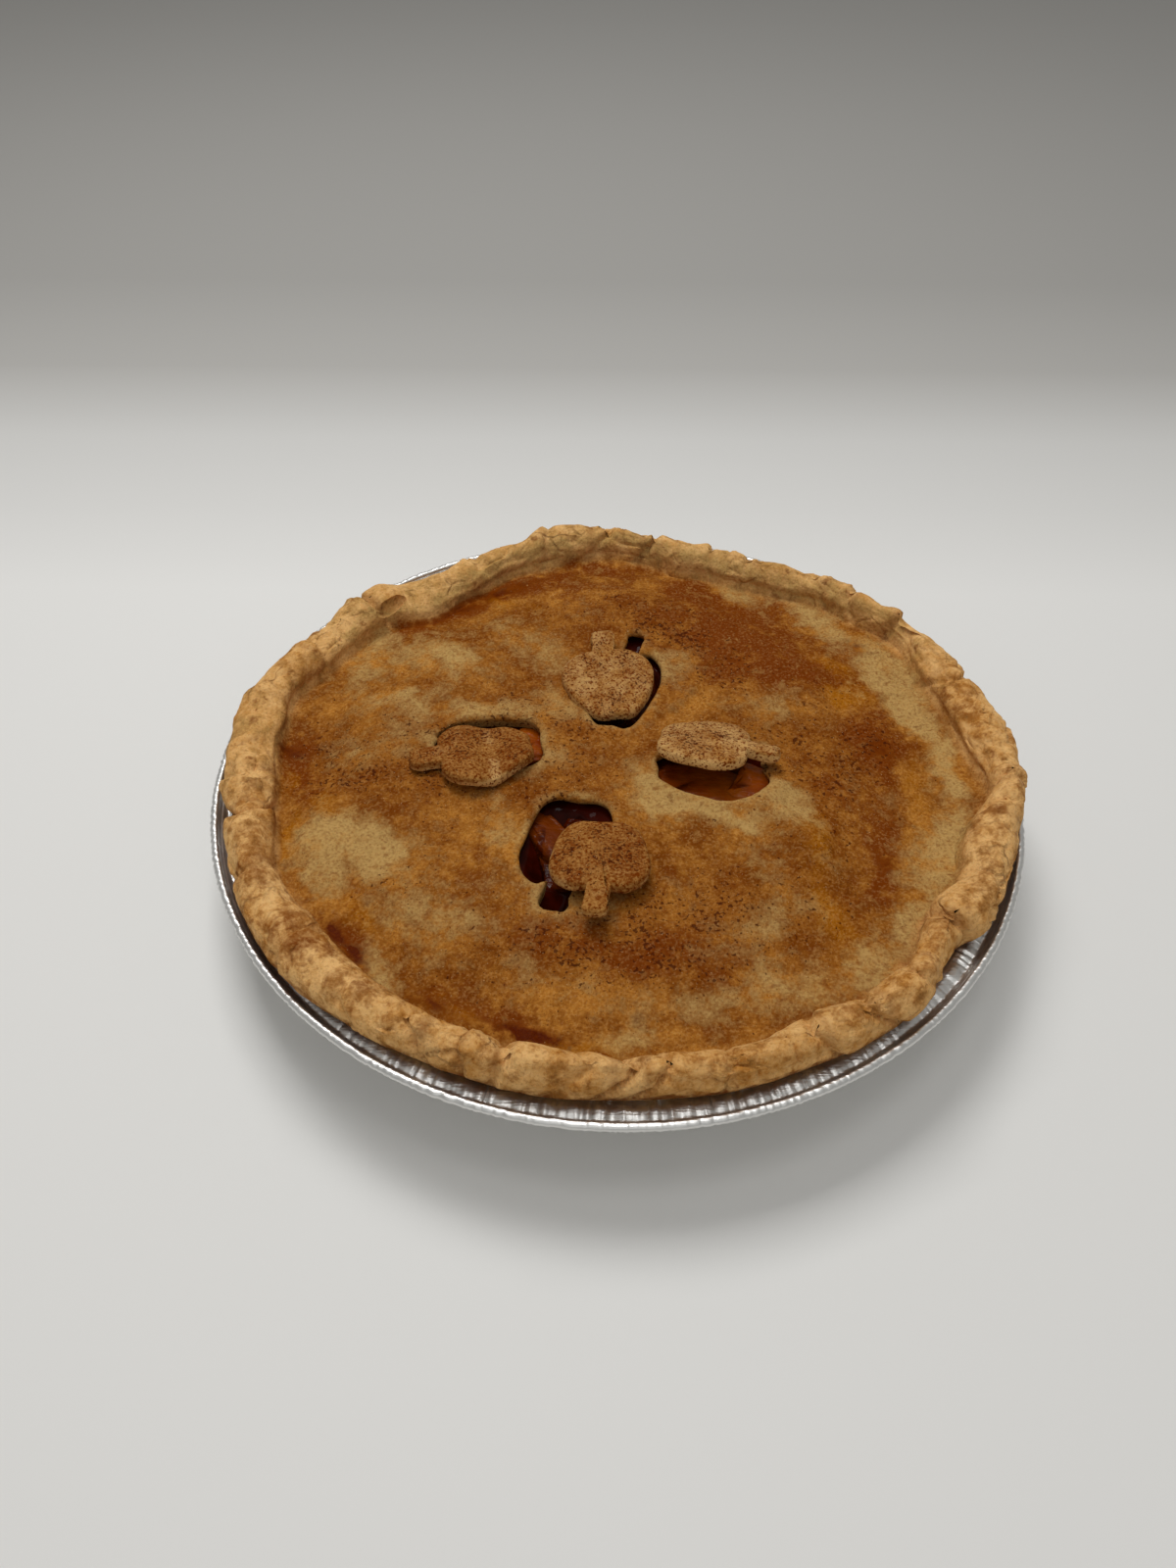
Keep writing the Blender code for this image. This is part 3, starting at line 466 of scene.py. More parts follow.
def rough(points: np.ndarray, wave: float, shift: float, octaves: int = 1) -> np.ndarray:
    """Smooth noise of about -1 to 1 at points.

    Args:
        points: Places, one row each.
        wave: Size of its lumps in metres.
        shift: Offset that makes each use different.
        octaves: Layers of ever finer lumps.

    Returns:
        One value for each point.
    """
    moved = points / wave + np.array([shift, 1.7 * shift, 0.6 * shift])
    if octaves == 1:
        return np.array([noise.noise(Vector(p)) for p in moved.tolist()])
    return np.array([noise.fractal(Vector(p), 1.0, 2.0, octaves) for p in moved.tolist()])


def distance_to_outline(x: np.ndarray, y: np.ndarray, outline: np.ndarray) -> np.ndarray:
    """Signed distance to a closed outline, below 0 inside it.

    Args:
        x: Places across.
        y: Places towards the back.
        outline: Its corners in order.

    Returns:
        One distance for each place.
    """
    p = np.stack([x, y], -1)
    best = np.full(len(p), 1e9)
    inside = np.zeros(len(p), bool)
    for a, b in zip(outline, np.roll(outline, -1, 0)):
        ab = b - a
        t = np.clip(((p - a) @ ab) / max(float(ab @ ab), 1e-18), 0.0, 1.0)
        best = np.minimum(best, np.linalg.norm(p - a - t[:, None] * ab, axis=1))
        if a[1] != b[1]:
            crosses = (a[1] > p[:, 1]) != (b[1] > p[:, 1])
            inside ^= crosses & (p[:, 0] < a[0] + (p[:, 1] - a[1]) / (b[1] - a[1]) * (b[0] - a[0]))
    return np.where(inside, -best, best)


def plain_mesh(obj: bpy.types.Object) -> bpy.types.Object:
    """Replaces an object by a plain mesh of its evaluated shape, with its place in its mesh."""
    bpy.context.view_layer.update()
    graph = bpy.context.evaluated_depsgraph_get()
    mesh = bpy.data.meshes.new_from_object(obj.evaluated_get(graph), depsgraph=graph)
    mesh.transform(obj.matrix_world)
    name = obj.name
    bpy.data.objects.remove(obj, do_unlink=True)
    made = bpy.data.objects.new(name, mesh)
    bpy.context.scene.collection.objects.link(made)
    return made


def new_object(name: str, mesh: bpy.types.Mesh) -> bpy.types.Object:
    """Links a new object that holds a mesh."""
    obj = bpy.data.objects.new(name, mesh)
    bpy.context.scene.collection.objects.link(obj)
    return obj


def to_mesh(work: bmesh.types.BMesh, name: str) -> bpy.types.Mesh:
    """Makes a mesh of finished work and frees the work."""
    mesh = bpy.data.meshes.new(name)
    work.to_mesh(mesh)
    work.free()
    return mesh


def turned(name: str, profile: Sequence[tuple[float, float]], steps: int) -> bpy.types.Object:
    """Turns a profile of (radius, height), top to bottom on its outer side, about Z.

    Args:
        name: The object's name.
        profile: The section, with both ends on the axis.
        steps: Faces round the axis.

    Returns:
        A closed plain mesh.
    """
    work = bmesh.new()
    verts = [work.verts.new((r, 0.0, z)) for r, z in profile]
    for a, b in zip(verts, verts[1:]):
        work.edges.new((a, b))
    obj = new_object(name, to_mesh(work, name))
    screw = obj.modifiers.new("turn", "SCREW")
    screw.angle = math.tau
    screw.steps = screw.render_steps = steps
    screw.use_merge_vertices = True
    screw.merge_threshold = 1e-6
    obj = plain_mesh(obj)
    weld(obj.data)
    return obj


def weld(mesh: bpy.types.Mesh, reach: float = 1e-7) -> None:
    """Merges doubled points and turns every face outwards."""
    work = bmesh.new()
    work.from_mesh(mesh)
    bmesh.ops.remove_doubles(work, verts=work.verts, dist=reach)
    bmesh.ops.recalc_face_normals(work, faces=work.faces)
    work.to_mesh(mesh)
    work.free()
    mesh.update()


def points_of(mesh: bpy.types.Mesh) -> np.ndarray:
    """The mesh's points, one row each."""
    flat = np.empty(len(mesh.vertices) * 3, np.float32)
    mesh.vertices.foreach_get("co", flat)
    return flat.reshape(-1, 3).astype(np.float64)


def set_points(mesh: bpy.types.Mesh, points: np.ndarray) -> None:
    """Writes points back to a mesh."""
    mesh.vertices.foreach_set("co", points.astype(np.float32).ravel())
    mesh.update()


def paint(mesh: bpy.types.Mesh, name: str, values: Sequence[np.ndarray]) -> None:
    """Stores up to three values of 0 to 1 for each point as a named colour attribute.

    Args:
        mesh: The mesh.
        name: The attribute's name.
        values: What goes into its channels.
    """
    attribute = mesh.attributes.get(name) or mesh.attributes.new(name, "FLOAT_COLOR", "POINT")
    rgba = np.ones((len(mesh.vertices), 4), np.float32)
    for i, value in enumerate(values):
        rgba[:, i] = np.clip(value, 0.0, 1.0)
    attribute.data.foreach_set("color", rgba.ravel())


def spline(points: Sequence[tuple[float, float]], count: int) -> list[tuple[float, float]]:
    """Evenly spaced points on a smooth curve through the given ones.

    Args:
        points: What the curve passes through.
        count: Points in all.

    Returns:
        The curve's points, both ends included.
    """
    fine = np.array(smooth_run(points, 12))
    run = np.concatenate([[0], np.cumsum(np.linalg.norm(np.diff(fine, axis=0), axis=1))])
    at = np.linspace(0, run[-1], count)
    across, up = (np.interp(at, run, fine[:, i]) for i in (0, 1))
    return [(float(x), float(y)) for x, y in zip(across, up)]


@dataclass(frozen=True)
class BakedShortcrust:
    """Shortcrust pastry, rolled by hand, glazed with a little sugar and baked.

    To the eye it is matt and cream where the oven spared it, golden on its high places and
    orange-brown where syrup soaked through, with fine blisters and flakes.
    """

    name: str = "baked shortcrust"
    cream: str = "B2762E"
    golden: str = "733C07"
    rim_gold: str = "B67A34"
    rim_pale: str = "E2B272"
    brown: str = "6E3002"
    syrup_and_shade_brown: str = "541C02"
    yellow: str = "AC6A0C"
    pale: str = "B89458"
    spice: str = "401604"
    blotch: float = 8.0 * MM
    flake: float = 1.7 * MM
    grain: float = 0.42 * MM
    speck: float = 0.6 * MM
    mottle: float = 4.0 * MM
    fleck: float = 1.1 * MM
    scorch: float = 3.0 * MM
    fold: float = 7.0 * MM
    drift: float = 6.0 * MM
    crease: float = 10.0 * MM
    sway: float = 3.5 * MM
    sway_reach: float = 6.0 * MM
    relief: float = 0.9 * MM
    wet_roughness: float = 0.42
    dusting: float = 1.2
    sandy: float = 0.34

    def build(self) -> bpy.types.Material:
        """Builds the material.

        Returns:
            The pastry, which reads the attributes "bake", "zone" and "more".
        """
        material, add, shader, place = new_material(self.name)
        bake, zone, more = (
            add("ShaderNodeSeparateColor", (add("ShaderNodeAttribute", attribute_name=name),)).outputs
            for name in ("bake", "zone", "more"))
        # The bake channels: browning with painted shade, flour with painted light, and syrup with painted
        # shade.
        browned, floury_and_painted_light, soaked = bake
        on_roll, buttery, spiced = zone
        cleft, greasy, _ = more
        broad, flaky, fine, mottled, flecks, scorches, folds, dust, drifts = (
            add(NOISE, {"Vector": place, "Scale": 0.5 / lump, "Detail": detail, "Roughness": harsh,
                        "Distortion": twist})
            for lump, detail, harsh, twist in (
                (self.blotch, 4.0, 0.6, 0.15), (self.flake, 4.0, 0.65, 0.1), (self.grain, 2.0, 0.6, 0.0),
                (self.mottle, 4.0, 0.62, 0.4), (self.fleck, 1.0, 0.5, 0.0), (self.scorch, 3.0, 0.6, 0.0),
                (self.fold, 2.0, 0.5, 0.0), (self.speck, 1.0, 0.5, 0.0), (self.drift, 2.0, 0.5, 0.0)))
        # Pale to golden by blotches and flakes, on the lid and on the roll.
        lid, roll = (
            add(MIX, {0: add(MATH, (add(RANGE, (broad, *by_blotch)), add(RANGE, (flaky, *by_flake))), **PLUS),
                      MIX_A: light, MIX_B: dark}, **COLOUR)
            for by_blotch, by_flake, light, dark in (
                ((0.34, 0.62, 0.1, 0.9), (0.36, 0.66, -0.2, 0.4), self.cream, self.golden),
                ((0.38, 0.64, 0.0, 0.6), (0.38, 0.64, -0.15, 0.5), self.rim_pale, self.rim_gold)))
        # Stains end raggedly: browned, buttery, floury and soaked with syrup. The browned and soaked layers
        # also carry painted shade, and the floury layer painted light, on the roll and the lid.
        ragged = add(MATH, (add(RANGE, (flaky, 0.3, 0.7, -0.26, 0.26)),
                            add(RANGE, (mottled, 0.32, 0.68, -0.34, 0.34))), **PLUS)
        layers = [(on_roll, roll)]
        for amount, reach, tone in (
                (browned, (0.25, 0.85, 0.0, 0.92), self.brown),
                (buttery, (0.2, 1.0, 0.0, 0.85), self.yellow),
                (floury_and_painted_light, (0.18, 0.88, 0.0, 0.86), self.pale),
                (soaked, (0.3, 0.75, 0.0, 1.0), self.syrup_and_shade_brown)):
            layers.append((add(RANGE, (add(MATH, (amount, ragged), **PLUS), *reach)), tone))
        # Flecks where thin flakes browned, and scorched places on the roll.
        for spot, where in ((add(RANGE, (flecks, 0.6, 0.72)), add(RANGE, (on_roll, 0.0, 1.0, 0.4, 0.15))),
                            (add(RANGE, (scorches, 0.62, 0.7, 0.0, 0.6)), on_roll)):
            layers.append((add(MATH, (spot, where), **TIMES), self.brown))
        # Creases that the fingers left in the roll: fine broken lines, painted brown in their depth as
        # painted shade.
        sway = add(NOISE, {"Vector": place, "Scale": 0.5 / self.sway, "Detail": 2.0}).outputs["Color"]
        swayed = add("ShaderNodeVectorMath", {0: sway, "Scale": self.sway_reach}, operation="SCALE")
        cells = add("ShaderNodeTexVoronoi", {"Vector": add("ShaderNodeVectorMath", (place, swayed), **PLUS),
                                             "Scale": 1.0 / self.crease}, feature="DISTANCE_TO_EDGE")
        crease = add(MATH, (add(RANGE, (cells, 0.0, 0.075, 1.0, 0.0)), add(
            MATH, (add(RANGE, (folds, 0.52, 0.66)), on_roll), **TIMES)), **TIMES)
        layers.append((add(MATH, (crease, 0.3), **TIMES), self.brown))
        # Sandy skin: dark and pale points of baked sugar and flour, under half a millimetre each.
        sand = add(RANGE, (on_roll, 0.0, 1.0, self.sandy, 0.25))
        layers.append((add(MATH, (add(RANGE, (fine, 0.52, 0.64)), sand), **TIMES), self.brown))
        dry_sand = add(MATH, (sand, add(RANGE, (soaked, 0.0, 0.3, 0.45, 0.0))), **TIMES)
        layers.append((add(MATH, (add(RANGE, (fine, 0.48, 0.36)), dry_sand), **TIMES), self.rim_pale))
        # A haze of the finest spice tints the pastry between its dark specks.
        dusted = add(MATH, (add(MATH, (spiced, add(RANGE, (drifts, 0.35, 0.65, 0.55, 1.0))), **TIMES),
                            self.dusting), **TIMES)
        layers.append((add(RANGE, (dusted, 0.2, 1.6, 0.0, 0.5)), self.brown))
        bare = add(MATH, (0.80, add(MATH, (dusted, 0.24), **TIMES)), **MINUS)
        layers.append((add(RANGE, (add(MATH, (dust, bare), **MINUS), 0.0, 0.07, 0.0, 0.8)), self.spice))
        # Cracks, tucks, hollows, the roll's foot and the pieces' lowest parts are painted browner: painted
        # shade where less light reaches, with more colour in their depth.
        layers.append((add(RANGE, (cleft, 0.1, 1.0, 0.0, 0.75)), self.brown))
        colour = lid
        for cover, tone in layers:
            colour = add(MIX, {0: cover, MIX_A: colour, MIX_B: tone}, **COLOUR)
        wet = add(RANGE, (add(MATH, (soaked, add(MATH, (greasy, 0.6), **TIMES)), **PLUS), 0.3, 0.9))
        gloss = add(MIX, {0: wet, "A": add(RANGE, (flaky, 0.35, 0.7, 0.52, 0.72)), "B": self.wet_roughness})
        height = add(MATH, (flaky, add(MATH, (fine, 0.35), **TIMES)), **PLUS)
        height = add(MATH, (height, add(MATH, (mottled, 0.8), **TIMES)), **PLUS)
        height = add(MATH, (height, add(MATH, (crease, 0.9), **TIMES)), **MINUS)
        bump = add(BUMP, {"Height": height, "Distance": self.relief, "Strength": 0.7})
        feed(shader, {"Base Color": colour, "Roughness": gloss, "Normal": bump, "Specular IOR Level": 0.02,
                      "Subsurface Weight": 0.06, "Subsurface Radius": (1.0, 0.45, 0.2),
                      "Subsurface Scale": 1.6 * MM})
        return material


@dataclass(frozen=True)
class RolledFoil:
    """Aluminium foil of 0.1 mm, pressed into a tin: soft, bright, with faint rolling lines and dents."""

    name: str = "pressed aluminium foil"
    metal: str = "E2E1DE"
    dent: float = 1.6 * MM
    roughness: float = 0.36

    def build(self) -> bpy.types.Material:
        """Builds the foil's material."""
        material, add, shader, place = new_material(self.name)
        dents = add(NOISE, {"Vector": place, "Scale": 0.5 / self.dent, "Detail": 3.0})
        drawn = add("ShaderNodeMapping", {"Vector": place, "Scale": (1.0, 40.0, 40.0)})
        height = add(MATH, (dents, add(NOISE, {"Vector": drawn, "Scale": 40.0})), **PLUS)
        bump = add(BUMP, {"Height": height, "Distance": 0.2 * MM, "Strength": 0.6})
        tone = add(RANGE, {0: dents, "To Min": self.roughness - 0.06, "To Max": self.roughness + 0.12})
        feed(shader, {"Base Color": self.metal, "Metallic": 1.0, "Roughness": tone, "Normal": bump})
        return material


@dataclass(frozen=True)
class StewedFruit:
    """Fruit baked soft in cinnamon syrup: amber to red-brown, wet, with paler threads of flesh."""

    name: str = "stewed fruit"
    amber: str = "7A2C04"
    bright: str = "9C4E0C"
    red: str = "4E1400"
    deep: str = "1E0400"
    fibre: float = 1.6 * MM
    blotch: float = 5.0 * MM
    roughness: float = 0.14

    def build(self) -> bpy.types.Material:
        """Builds the fruit's material.

        Returns:
            The fruit, which reads the attribute "red".
        """
        material, add, shader, place = new_material(self.name)
        red = add("ShaderNodeSeparateColor", (add("ShaderNodeAttribute", attribute_name="red"),))
        broad = add(NOISE, {"Vector": place, "Scale": 0.5 / self.blotch, "Detail": 2.0})
        drawn = add("ShaderNodeMapping", {"Vector": place, "Scale": (1.0, 2.5, 2.5)})
        fibre = add(NOISE, {"Vector": drawn, "Scale": 0.5 / self.fibre, "Detail": 3.0, "Distortion": 0.6})
        ripe, stewed = (two_tone(add("ShaderNodeValToRGB", (broad,)), ((0.34, dark), (0.66, light)))
                        for dark, light in ((self.amber, self.bright), (self.deep, self.red)))
        flesh = add(MIX, {0: red, MIX_A: ripe, MIX_B: stewed}, **COLOUR)
        thread = add(RANGE, (fibre, 0.58, 0.75, 0.0, 0.35))
        colour = add(MIX, {0: thread, MIX_A: flesh, MIX_B: self.bright}, **COLOUR)
        bump = add(BUMP, {"Height": fibre, "Distance": 0.8 * MM, "Strength": 0.6})
        feed(shader, {"Base Color": colour, "Normal": bump, "Roughness": self.roughness,
                      "Specular IOR Level": 0.1, "Subsurface Weight": 0.12,
                      "Subsurface Radius": (1.0, 0.35, 0.1), "Subsurface Scale": 2.0 * MM})
        return material


@dataclass(frozen=True)
class PlainFinish:
    """A finish of one base colour with fine mottling, such as syrup, sugar or ground spice."""

    name: str
    colour: str
    other: str
    roughness: float
    mottle: float = 1.0 * MM
    specular: float = 0.2

    def build(self) -> bpy.types.Material:
        """Builds the finish."""
        material, add, shader, place = new_material(self.name)
        mottle = add(NOISE, {"Vector": place, "Scale": 0.5 / self.mottle, "Detail": 2.0})
        shade = two_tone(add("ShaderNodeValToRGB", (mottle,)), ((0.38, self.colour), (0.64, self.other)))
        feed(shader, {"Base Color": shade, "Roughness": self.roughness, "Specular IOR Level": self.specular})
        return material


# Section of the tin's flange: radius and height of its upper side in mm.
FLANGE_SECTION = ((111.4, 27.6), (113.2, 28.75), (114.8, 29.15), (116.4, 28.95), (119.0, 28.1))


@dataclass
class PieForm:
    """The pie's hand-made form: the same rules that its solids follow, with finer detail on top.

    The roll's two circles were fitted to points picked on the photo.
    """

    rim_z: float = 31.0 * MM
    bead_r: float = 1.25 * MM
    wall_top_r: float = 111.4 * MM
    wall_top_z: float = 27.6 * MM
    flange_outer_r: float = 119.0 * MM
    flange_outer_z: float = 29.3 * MM
    base_r: float = 92.0 * MM
    foil: float = 0.45 * MM
    corner_z: float = 3.0 * MM
    corner_depth: float = 2.4 * MM
    slant: float = 1.1
    wall_crust: float = 4.85 * MM
    gap: float = 0.3 * MM
    lid_centre: float = 7.0 * MM
    ditch: float = 2.6 * MM
    lid_thickness: float = 3.6 * MM
    wave_height: float = 0.8 * MM
    wave_size: float = 22.0 * MM
    bottom_crust: float = 3.5 * MM
    roll_top: float = 12.3 * MM
    lid_falls: tuple[float, float] = (64.0 * MM, 100.0 * MM)
    waves_end: tuple[float, float] = (92.0 * MM, 102.0 * MM)
    bead_starts: tuple[float, float] = (115.5 * MM, 118.2 * MM)
    inner_r: float = 104.9 * MM
    inner_centre: tuple[float, float] = (2.1 * MM, -1.9 * MM)
    outer_r: float = 115.9 * MM
    outer_centre: tuple[float, float] = (0.6 * MM, -1.7 * MM)

    def flange(self, rho: Any) -> Any:
        """Height of the flange's upper side at radii: it rises from the wall and dips by the bead."""
        radii, heights = (np.array(each) * MM for each in zip(*FLANGE_SECTION))
        return np.interp(rho, radii, heights)

    @staticmethod
    def _reach(angle: np.ndarray, centre: tuple[float, float], radius: float) -> np.ndarray:
        """Distance from the axis to an off-centre circle at angles in degrees."""
        a = np.radians(angle)
        along = np.cos(a) * centre[0] + np.sin(a) * centre[1]
        return along + np.sqrt(radius ** 2 - centre[0] ** 2 - centre[1] ** 2 + along ** 2)

    def roll_inner(self, angle: np.ndarray) -> np.ndarray:
        """Radius where the roll rises from the lid."""
        return self._reach(angle, self.inner_centre, self.inner_r) + swellings(angle, INNER_SWELLINGS)

    def roll_outer(self, angle: np.ndarray) -> np.ndarray:
        """Outermost radius of the roll."""
        return self._reach(angle, self.outer_centre, self.outer_r) + swellings(angle, OUTER_SWELLINGS)

    def lid(self, x: np.ndarray, y: np.ndarray, lips: bool = True) -> np.ndarray:
        """Height of the lid's top, with or without its lips, and without its fine detail.

        Args:
            x: Places across.
            y: Places towards the back.
            lips: Whether the lips of the vents count.

        Returns:
            One height for each place.
        """
        rho = np.hypot(x, y)
        rise = self.lid_centre + (self.ditch - self.lid_centre) * smooth(rho, *self.lid_falls)
        rise = rise + MM * patches(x, y, (*MOUNDS, *LIPS) if lips else MOUNDS)
        edge = 1.0 - smooth(rho, *self.waves_end)
        flat = on_plane(x, y) / self.wave_size + np.array([3.1, 7.7, 0.4])
        wave = np.array([noise.noise(Vector(p)) for p in flat.tolist()])
        return self.rim_z + rise + self.wave_height * wave * edge

    def tin_inner(self, z: Any) -> Any:
        """Radius of the tin's inner wall at a height or heights."""
        share = np.clip(z / self.wall_top_z, 0.0, 1.0)
        corner = np.maximum(self.corner_z - z, 0.0) / (self.corner_z - self.foil)
        outside = self.base_r + (self.wall_top_r - self.base_r) * share
        return outside - self.foil * self.slant - self.corner_depth * corner

    def clear_of_tin(self, rho: np.ndarray, z: np.ndarray) -> tuple[np.ndarray, np.ndarray]:
        """Keeps the pastry off the tin.

        Args:
            rho: Distances from the axis.
            z: Heights.

        Returns:
            Both, moved inwards or up where the tin is too near.
        """
        low = z < self.wall_top_z + 0.8 * MM
        flange = self.flange(rho)
        bead = self.rim_z + self.bead_r
        floor = flange + (bead - flange) * smooth(rho, *self.bead_starts) + self.gap
        kept = np.where(low, np.minimum(rho, self.tin_inner(z) - self.gap), rho)
        height = np.where(low, np.maximum(z, self.foil + self.gap), np.maximum(z, floor))
        return kept, height


@dataclass
class FoilTin:
    """The disposable tin: base, fluted wall, wrinkled flange and rolled bead."""

    form: PieForm
    steps: int = 1250
    flutes: int = 130
    wall_depth: float = 0.8 * MM
    flange_depth: float = 0.85 * MM
    crimps: int = 105
    crimp_depth: float = 0.34 * MM
    wall: float = 0.3 * MM

    def profile(self) -> list[tuple[float, float]]:
        """The tin's section, from the middle of the base up inside, over the bead and down outside."""
        f = self.form
        inner = [(0.0, f.foil), (40 * MM, f.foil), (84.0 * MM, f.foil), (88.0 * MM, f.foil)]
        inner += [(float(f.tin_inner(z)), z) for z in (f.foil, 1.6 * MM, 3.0 * MM)]
        inner += [(float(f.tin_inner(z)), z) for z in np.linspace(5 * MM, f.wall_top_z - 1 * MM, 7)]
        radii = [f.wall_top_r - f.foil + (f.flange_outer_r - f.wall_top_r - 0.5 * MM + f.foil) * s
                 for s in np.linspace(0, 1, 18)]
        slope = [(r, float(f.flange(r))) for r in radii]
        slope += [(118.8 * MM, f.flange_outer_z - 0.5 * MM), (119.2 * MM, f.flange_outer_z - 0.35 * MM),
                  (119.5 * MM, f.flange_outer_z - 0.2 * MM)]
        bead = [(120.95 * MM + f.bead_r * math.cos(a), f.rim_z + f.bead_r * math.sin(a))
                for a in np.radians([205, 185, 165, 140, 115, 90, 65, 40, 15, -10, -35, -60, -85, -110])]
        under = [(r, z - self.wall) for r, z in reversed(slope[:-3])]
        outer = [(float(f.tin_inner(z)) + f.foil * f.slant, z)
                 for z in list(np.linspace(f.wall_top_z - 1 * MM, 4 * MM, 8)) + [2.4 * MM, 1.2 * MM]]
        return inner + slope + bead + under + outer + [(89.2 * MM, 0.25 * MM), (87.4 * MM, 0.0), (0.0, 0.0)]

    def flute_tree(self, finish: bpy.types.Material) -> bpy.types.NodeTree:
        """Geometry Nodes that press radial flutes in wall and flange, and fine crimps in the bead.

        Args:
            finish: The material of the foil.

        Returns:
            The tree, with named inputs for counts and depths.
        """
        tree, add, given = new_tree("press flutes", (
            "Flutes", "Wall depth", "Flange depth", "Crimps", "Crimp depth"))
        east, north, height = add(SPLIT, (add("GeometryNodeInputPosition"),)).outputs
        angle = add(MATH, (north, east), operation="ARCTAN2")
        radius = add(MATH, (add(MATH, (add(MATH, (east, east), **TIMES), add(MATH, (north, north), **TIMES)),
                                **PLUS),), operation="SQRT")
        ahead, aside = (add(MATH, (angle,), operation=kind) for kind in ("COSINE", "SINE"))
        around = add(JOIN, (ahead, aside))
        # Each limit fades in smoothly from its first value to its second.
        faded = [add(RANGE, (value, low * MM, full * MM), **SOFTLY) for value, low, full in (
            (radius, 110.5, 113.0), (radius, 118.7, 117.6), (height, 2.0, 7.0), (radius, 111.8, 110.6),
            (radius, 88.0, 91.5), (radius, 120.0, 120.8), (height, 30.0, 31.6))]
        on_flange = add(MATH, faded[0:2], **TIMES)
        on_wall = add(MATH, (add(MATH, faded[2:4], **TIMES), faded[4]), **TIMES)
        on_bead, high = faded[5:]
        wander = add(NOISE, {"Vector": around, "Scale": 9.0, "Detail": 2.0})
        phase = add(MATH, (add(MATH, (angle, given["Flutes"]), **TIMES),
                           add(MATH, (wander, 16.0), **TIMES)), **PLUS)
        even = add(MATH, (add(MATH, (phase,), operation="SINE"), 0.5), operation="MULTIPLY_ADD")
        wrinkle = add(NOISE, {"Vector": around, "Scale": 75.0, "Detail": 2.0, "Roughness": 0.6})
        ticks = add(NOISE, {"Vector": around, "Scale": given["Crimps"], "Detail": 1.0})
        # Narrow creases where a noise crosses its middle, as foil folds when it is pressed.
        fold, tick = (
            add(MATH, (1.0, add(RANGE, (add(MATH, (add(MATH, (value, 0.5), **MINUS),), operation="ABSOLUTE"),
                                        0.0, width), **SOFTLY)), **MINUS)
            for value, width in ((wrinkle, 0.07), (ticks, 0.1)))
        # Short puckers, each of its own length, where the folds run out towards the bead.
        drawn = add(JOIN, [add(MATH, (value, times), **TIMES)
                           for value, times in ((ahead, 40.0), (aside, 40.0), (radius, 190.0))])
        pucker = add(NOISE, {"Vector": drawn, "Scale": 1.0, "Detail": 1.0})
        wave = add(MATH, (add(MATH, (even, 0.3), **TIMES), add(
            MATH, (add(MATH, (fold, 0.6), **TIMES), add(MATH, (wrinkle, 0.4), **TIMES)), **PLUS)), **PLUS)
        pressed = add(MATH, (add(MATH, (wave, 0.8), **TIMES), add(MATH, (pucker, 0.9), **TIMES)), **PLUS)
        crimp = add(MATH, (add(MATH, (tick, 0.7), **TIMES), add(MATH, (ticks, 0.5), **TIMES)), **PLUS)
        crimp = add(MATH, (crimp, add(MATH, (on_bead, given["Crimp depth"]), **TIMES)), **TIMES)
        down = add(MATH, (add(MATH, (on_flange, pressed), **TIMES), given["Flange depth"]), **TIMES)
        down = add(MATH, (down, -1.0), **TIMES)
        down = add(MATH, (down, add(MATH, (add(MATH, (crimp, high), **TIMES), 0.8), **TIMES)), **MINUS)
        out = add(MATH, (add(MATH, (on_wall, wave), **TIMES), given["Wall depth"]), **TIMES)
        out = add(MATH, (out, crimp), **MINUS)
        shift = add(JOIN, (add(MATH, (ahead, out), **TIMES), add(MATH, (aside, out), **TIMES), down))
        moved = add("GeometryNodeSetPosition", {"Geometry": given[0], "Offset": shift})
        real = add("GeometryNodeRealizeInstances", (moved,))
        add("NodeGroupOutput", (add("GeometryNodeSetMaterial", {"Geometry": real, "Material": finish}),))
        return tree

    def build(self) -> bpy.types.Object:
        """Builds the tin.

        Returns:
            The finished piece, which stands for the CAD tin.
        """
        finish = RolledFoil().build()
        obj = turned("foil_tin_pressed", self.profile(), self.steps)
        press = obj.modifiers.new("press flutes", "NODES")
        press.node_group = self.flute_tree(finish)
        set_inputs(press, {"Flutes": float(self.flutes), "Wall depth": self.wall_depth,
                           "Flange depth": self.flange_depth, "Crimps": float(self.crimps),
                           "Crimp depth": self.crimp_depth})
        obj = plain_mesh(obj)
        finish_piece(obj, "foil", [finish], "foil_tin", sharp=60.0)
        return obj


def set_inputs(modifier: bpy.types.NodesModifier, values: dict[str, Any]) -> None:
    """Sets a Geometry Nodes modifier's named inputs by their identifiers."""
    for item in modifier.node_group.interface.items_tree:
        if item.item_type == "SOCKET" and item.in_out == "INPUT" and item.name in values:
            modifier[item.identifier] = values[item.name]


def finish_piece(obj: bpy.types.Object, slot: str, finishes: Sequence[bpy.types.Material],
                 *nodes: str, sharp: float = 180.0) -> None:
    """Gives a piece its finish and its body, and hides the CAD nodes that it stands for.

    Args:
        obj: The piece.
        slot: Its material slot, not used.
        finishes: Its materials.
        nodes: The CAD nodes that it stands for.
        sharp: Angle in degrees past which an edge stays sharp.
    """
    obj.data.materials.clear()
    for finish in finishes:
        obj.data.materials.append(finish)
    obj.data.shade_smooth()
    if sharp < 180.0:
        obj.data.set_sharp_from_angle(angle=math.radians(sharp))
    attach(obj, "root")
    if nodes:
        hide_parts(*nodes)
    LOG.info("%s: %d faces", obj.name, len(obj.data.polygons))


# Folds of the roll that stand open: angle, radius and height over the rim, and half sizes along,
# across and up, in degrees and mm.
OPEN_FOLDS = (
    (-4.0, 106.0, 7.6, (7.5, 3.0, 2.2)),
    (139.0, 101.0, 10.6, (6.5, 2.2, 3.2)),
)
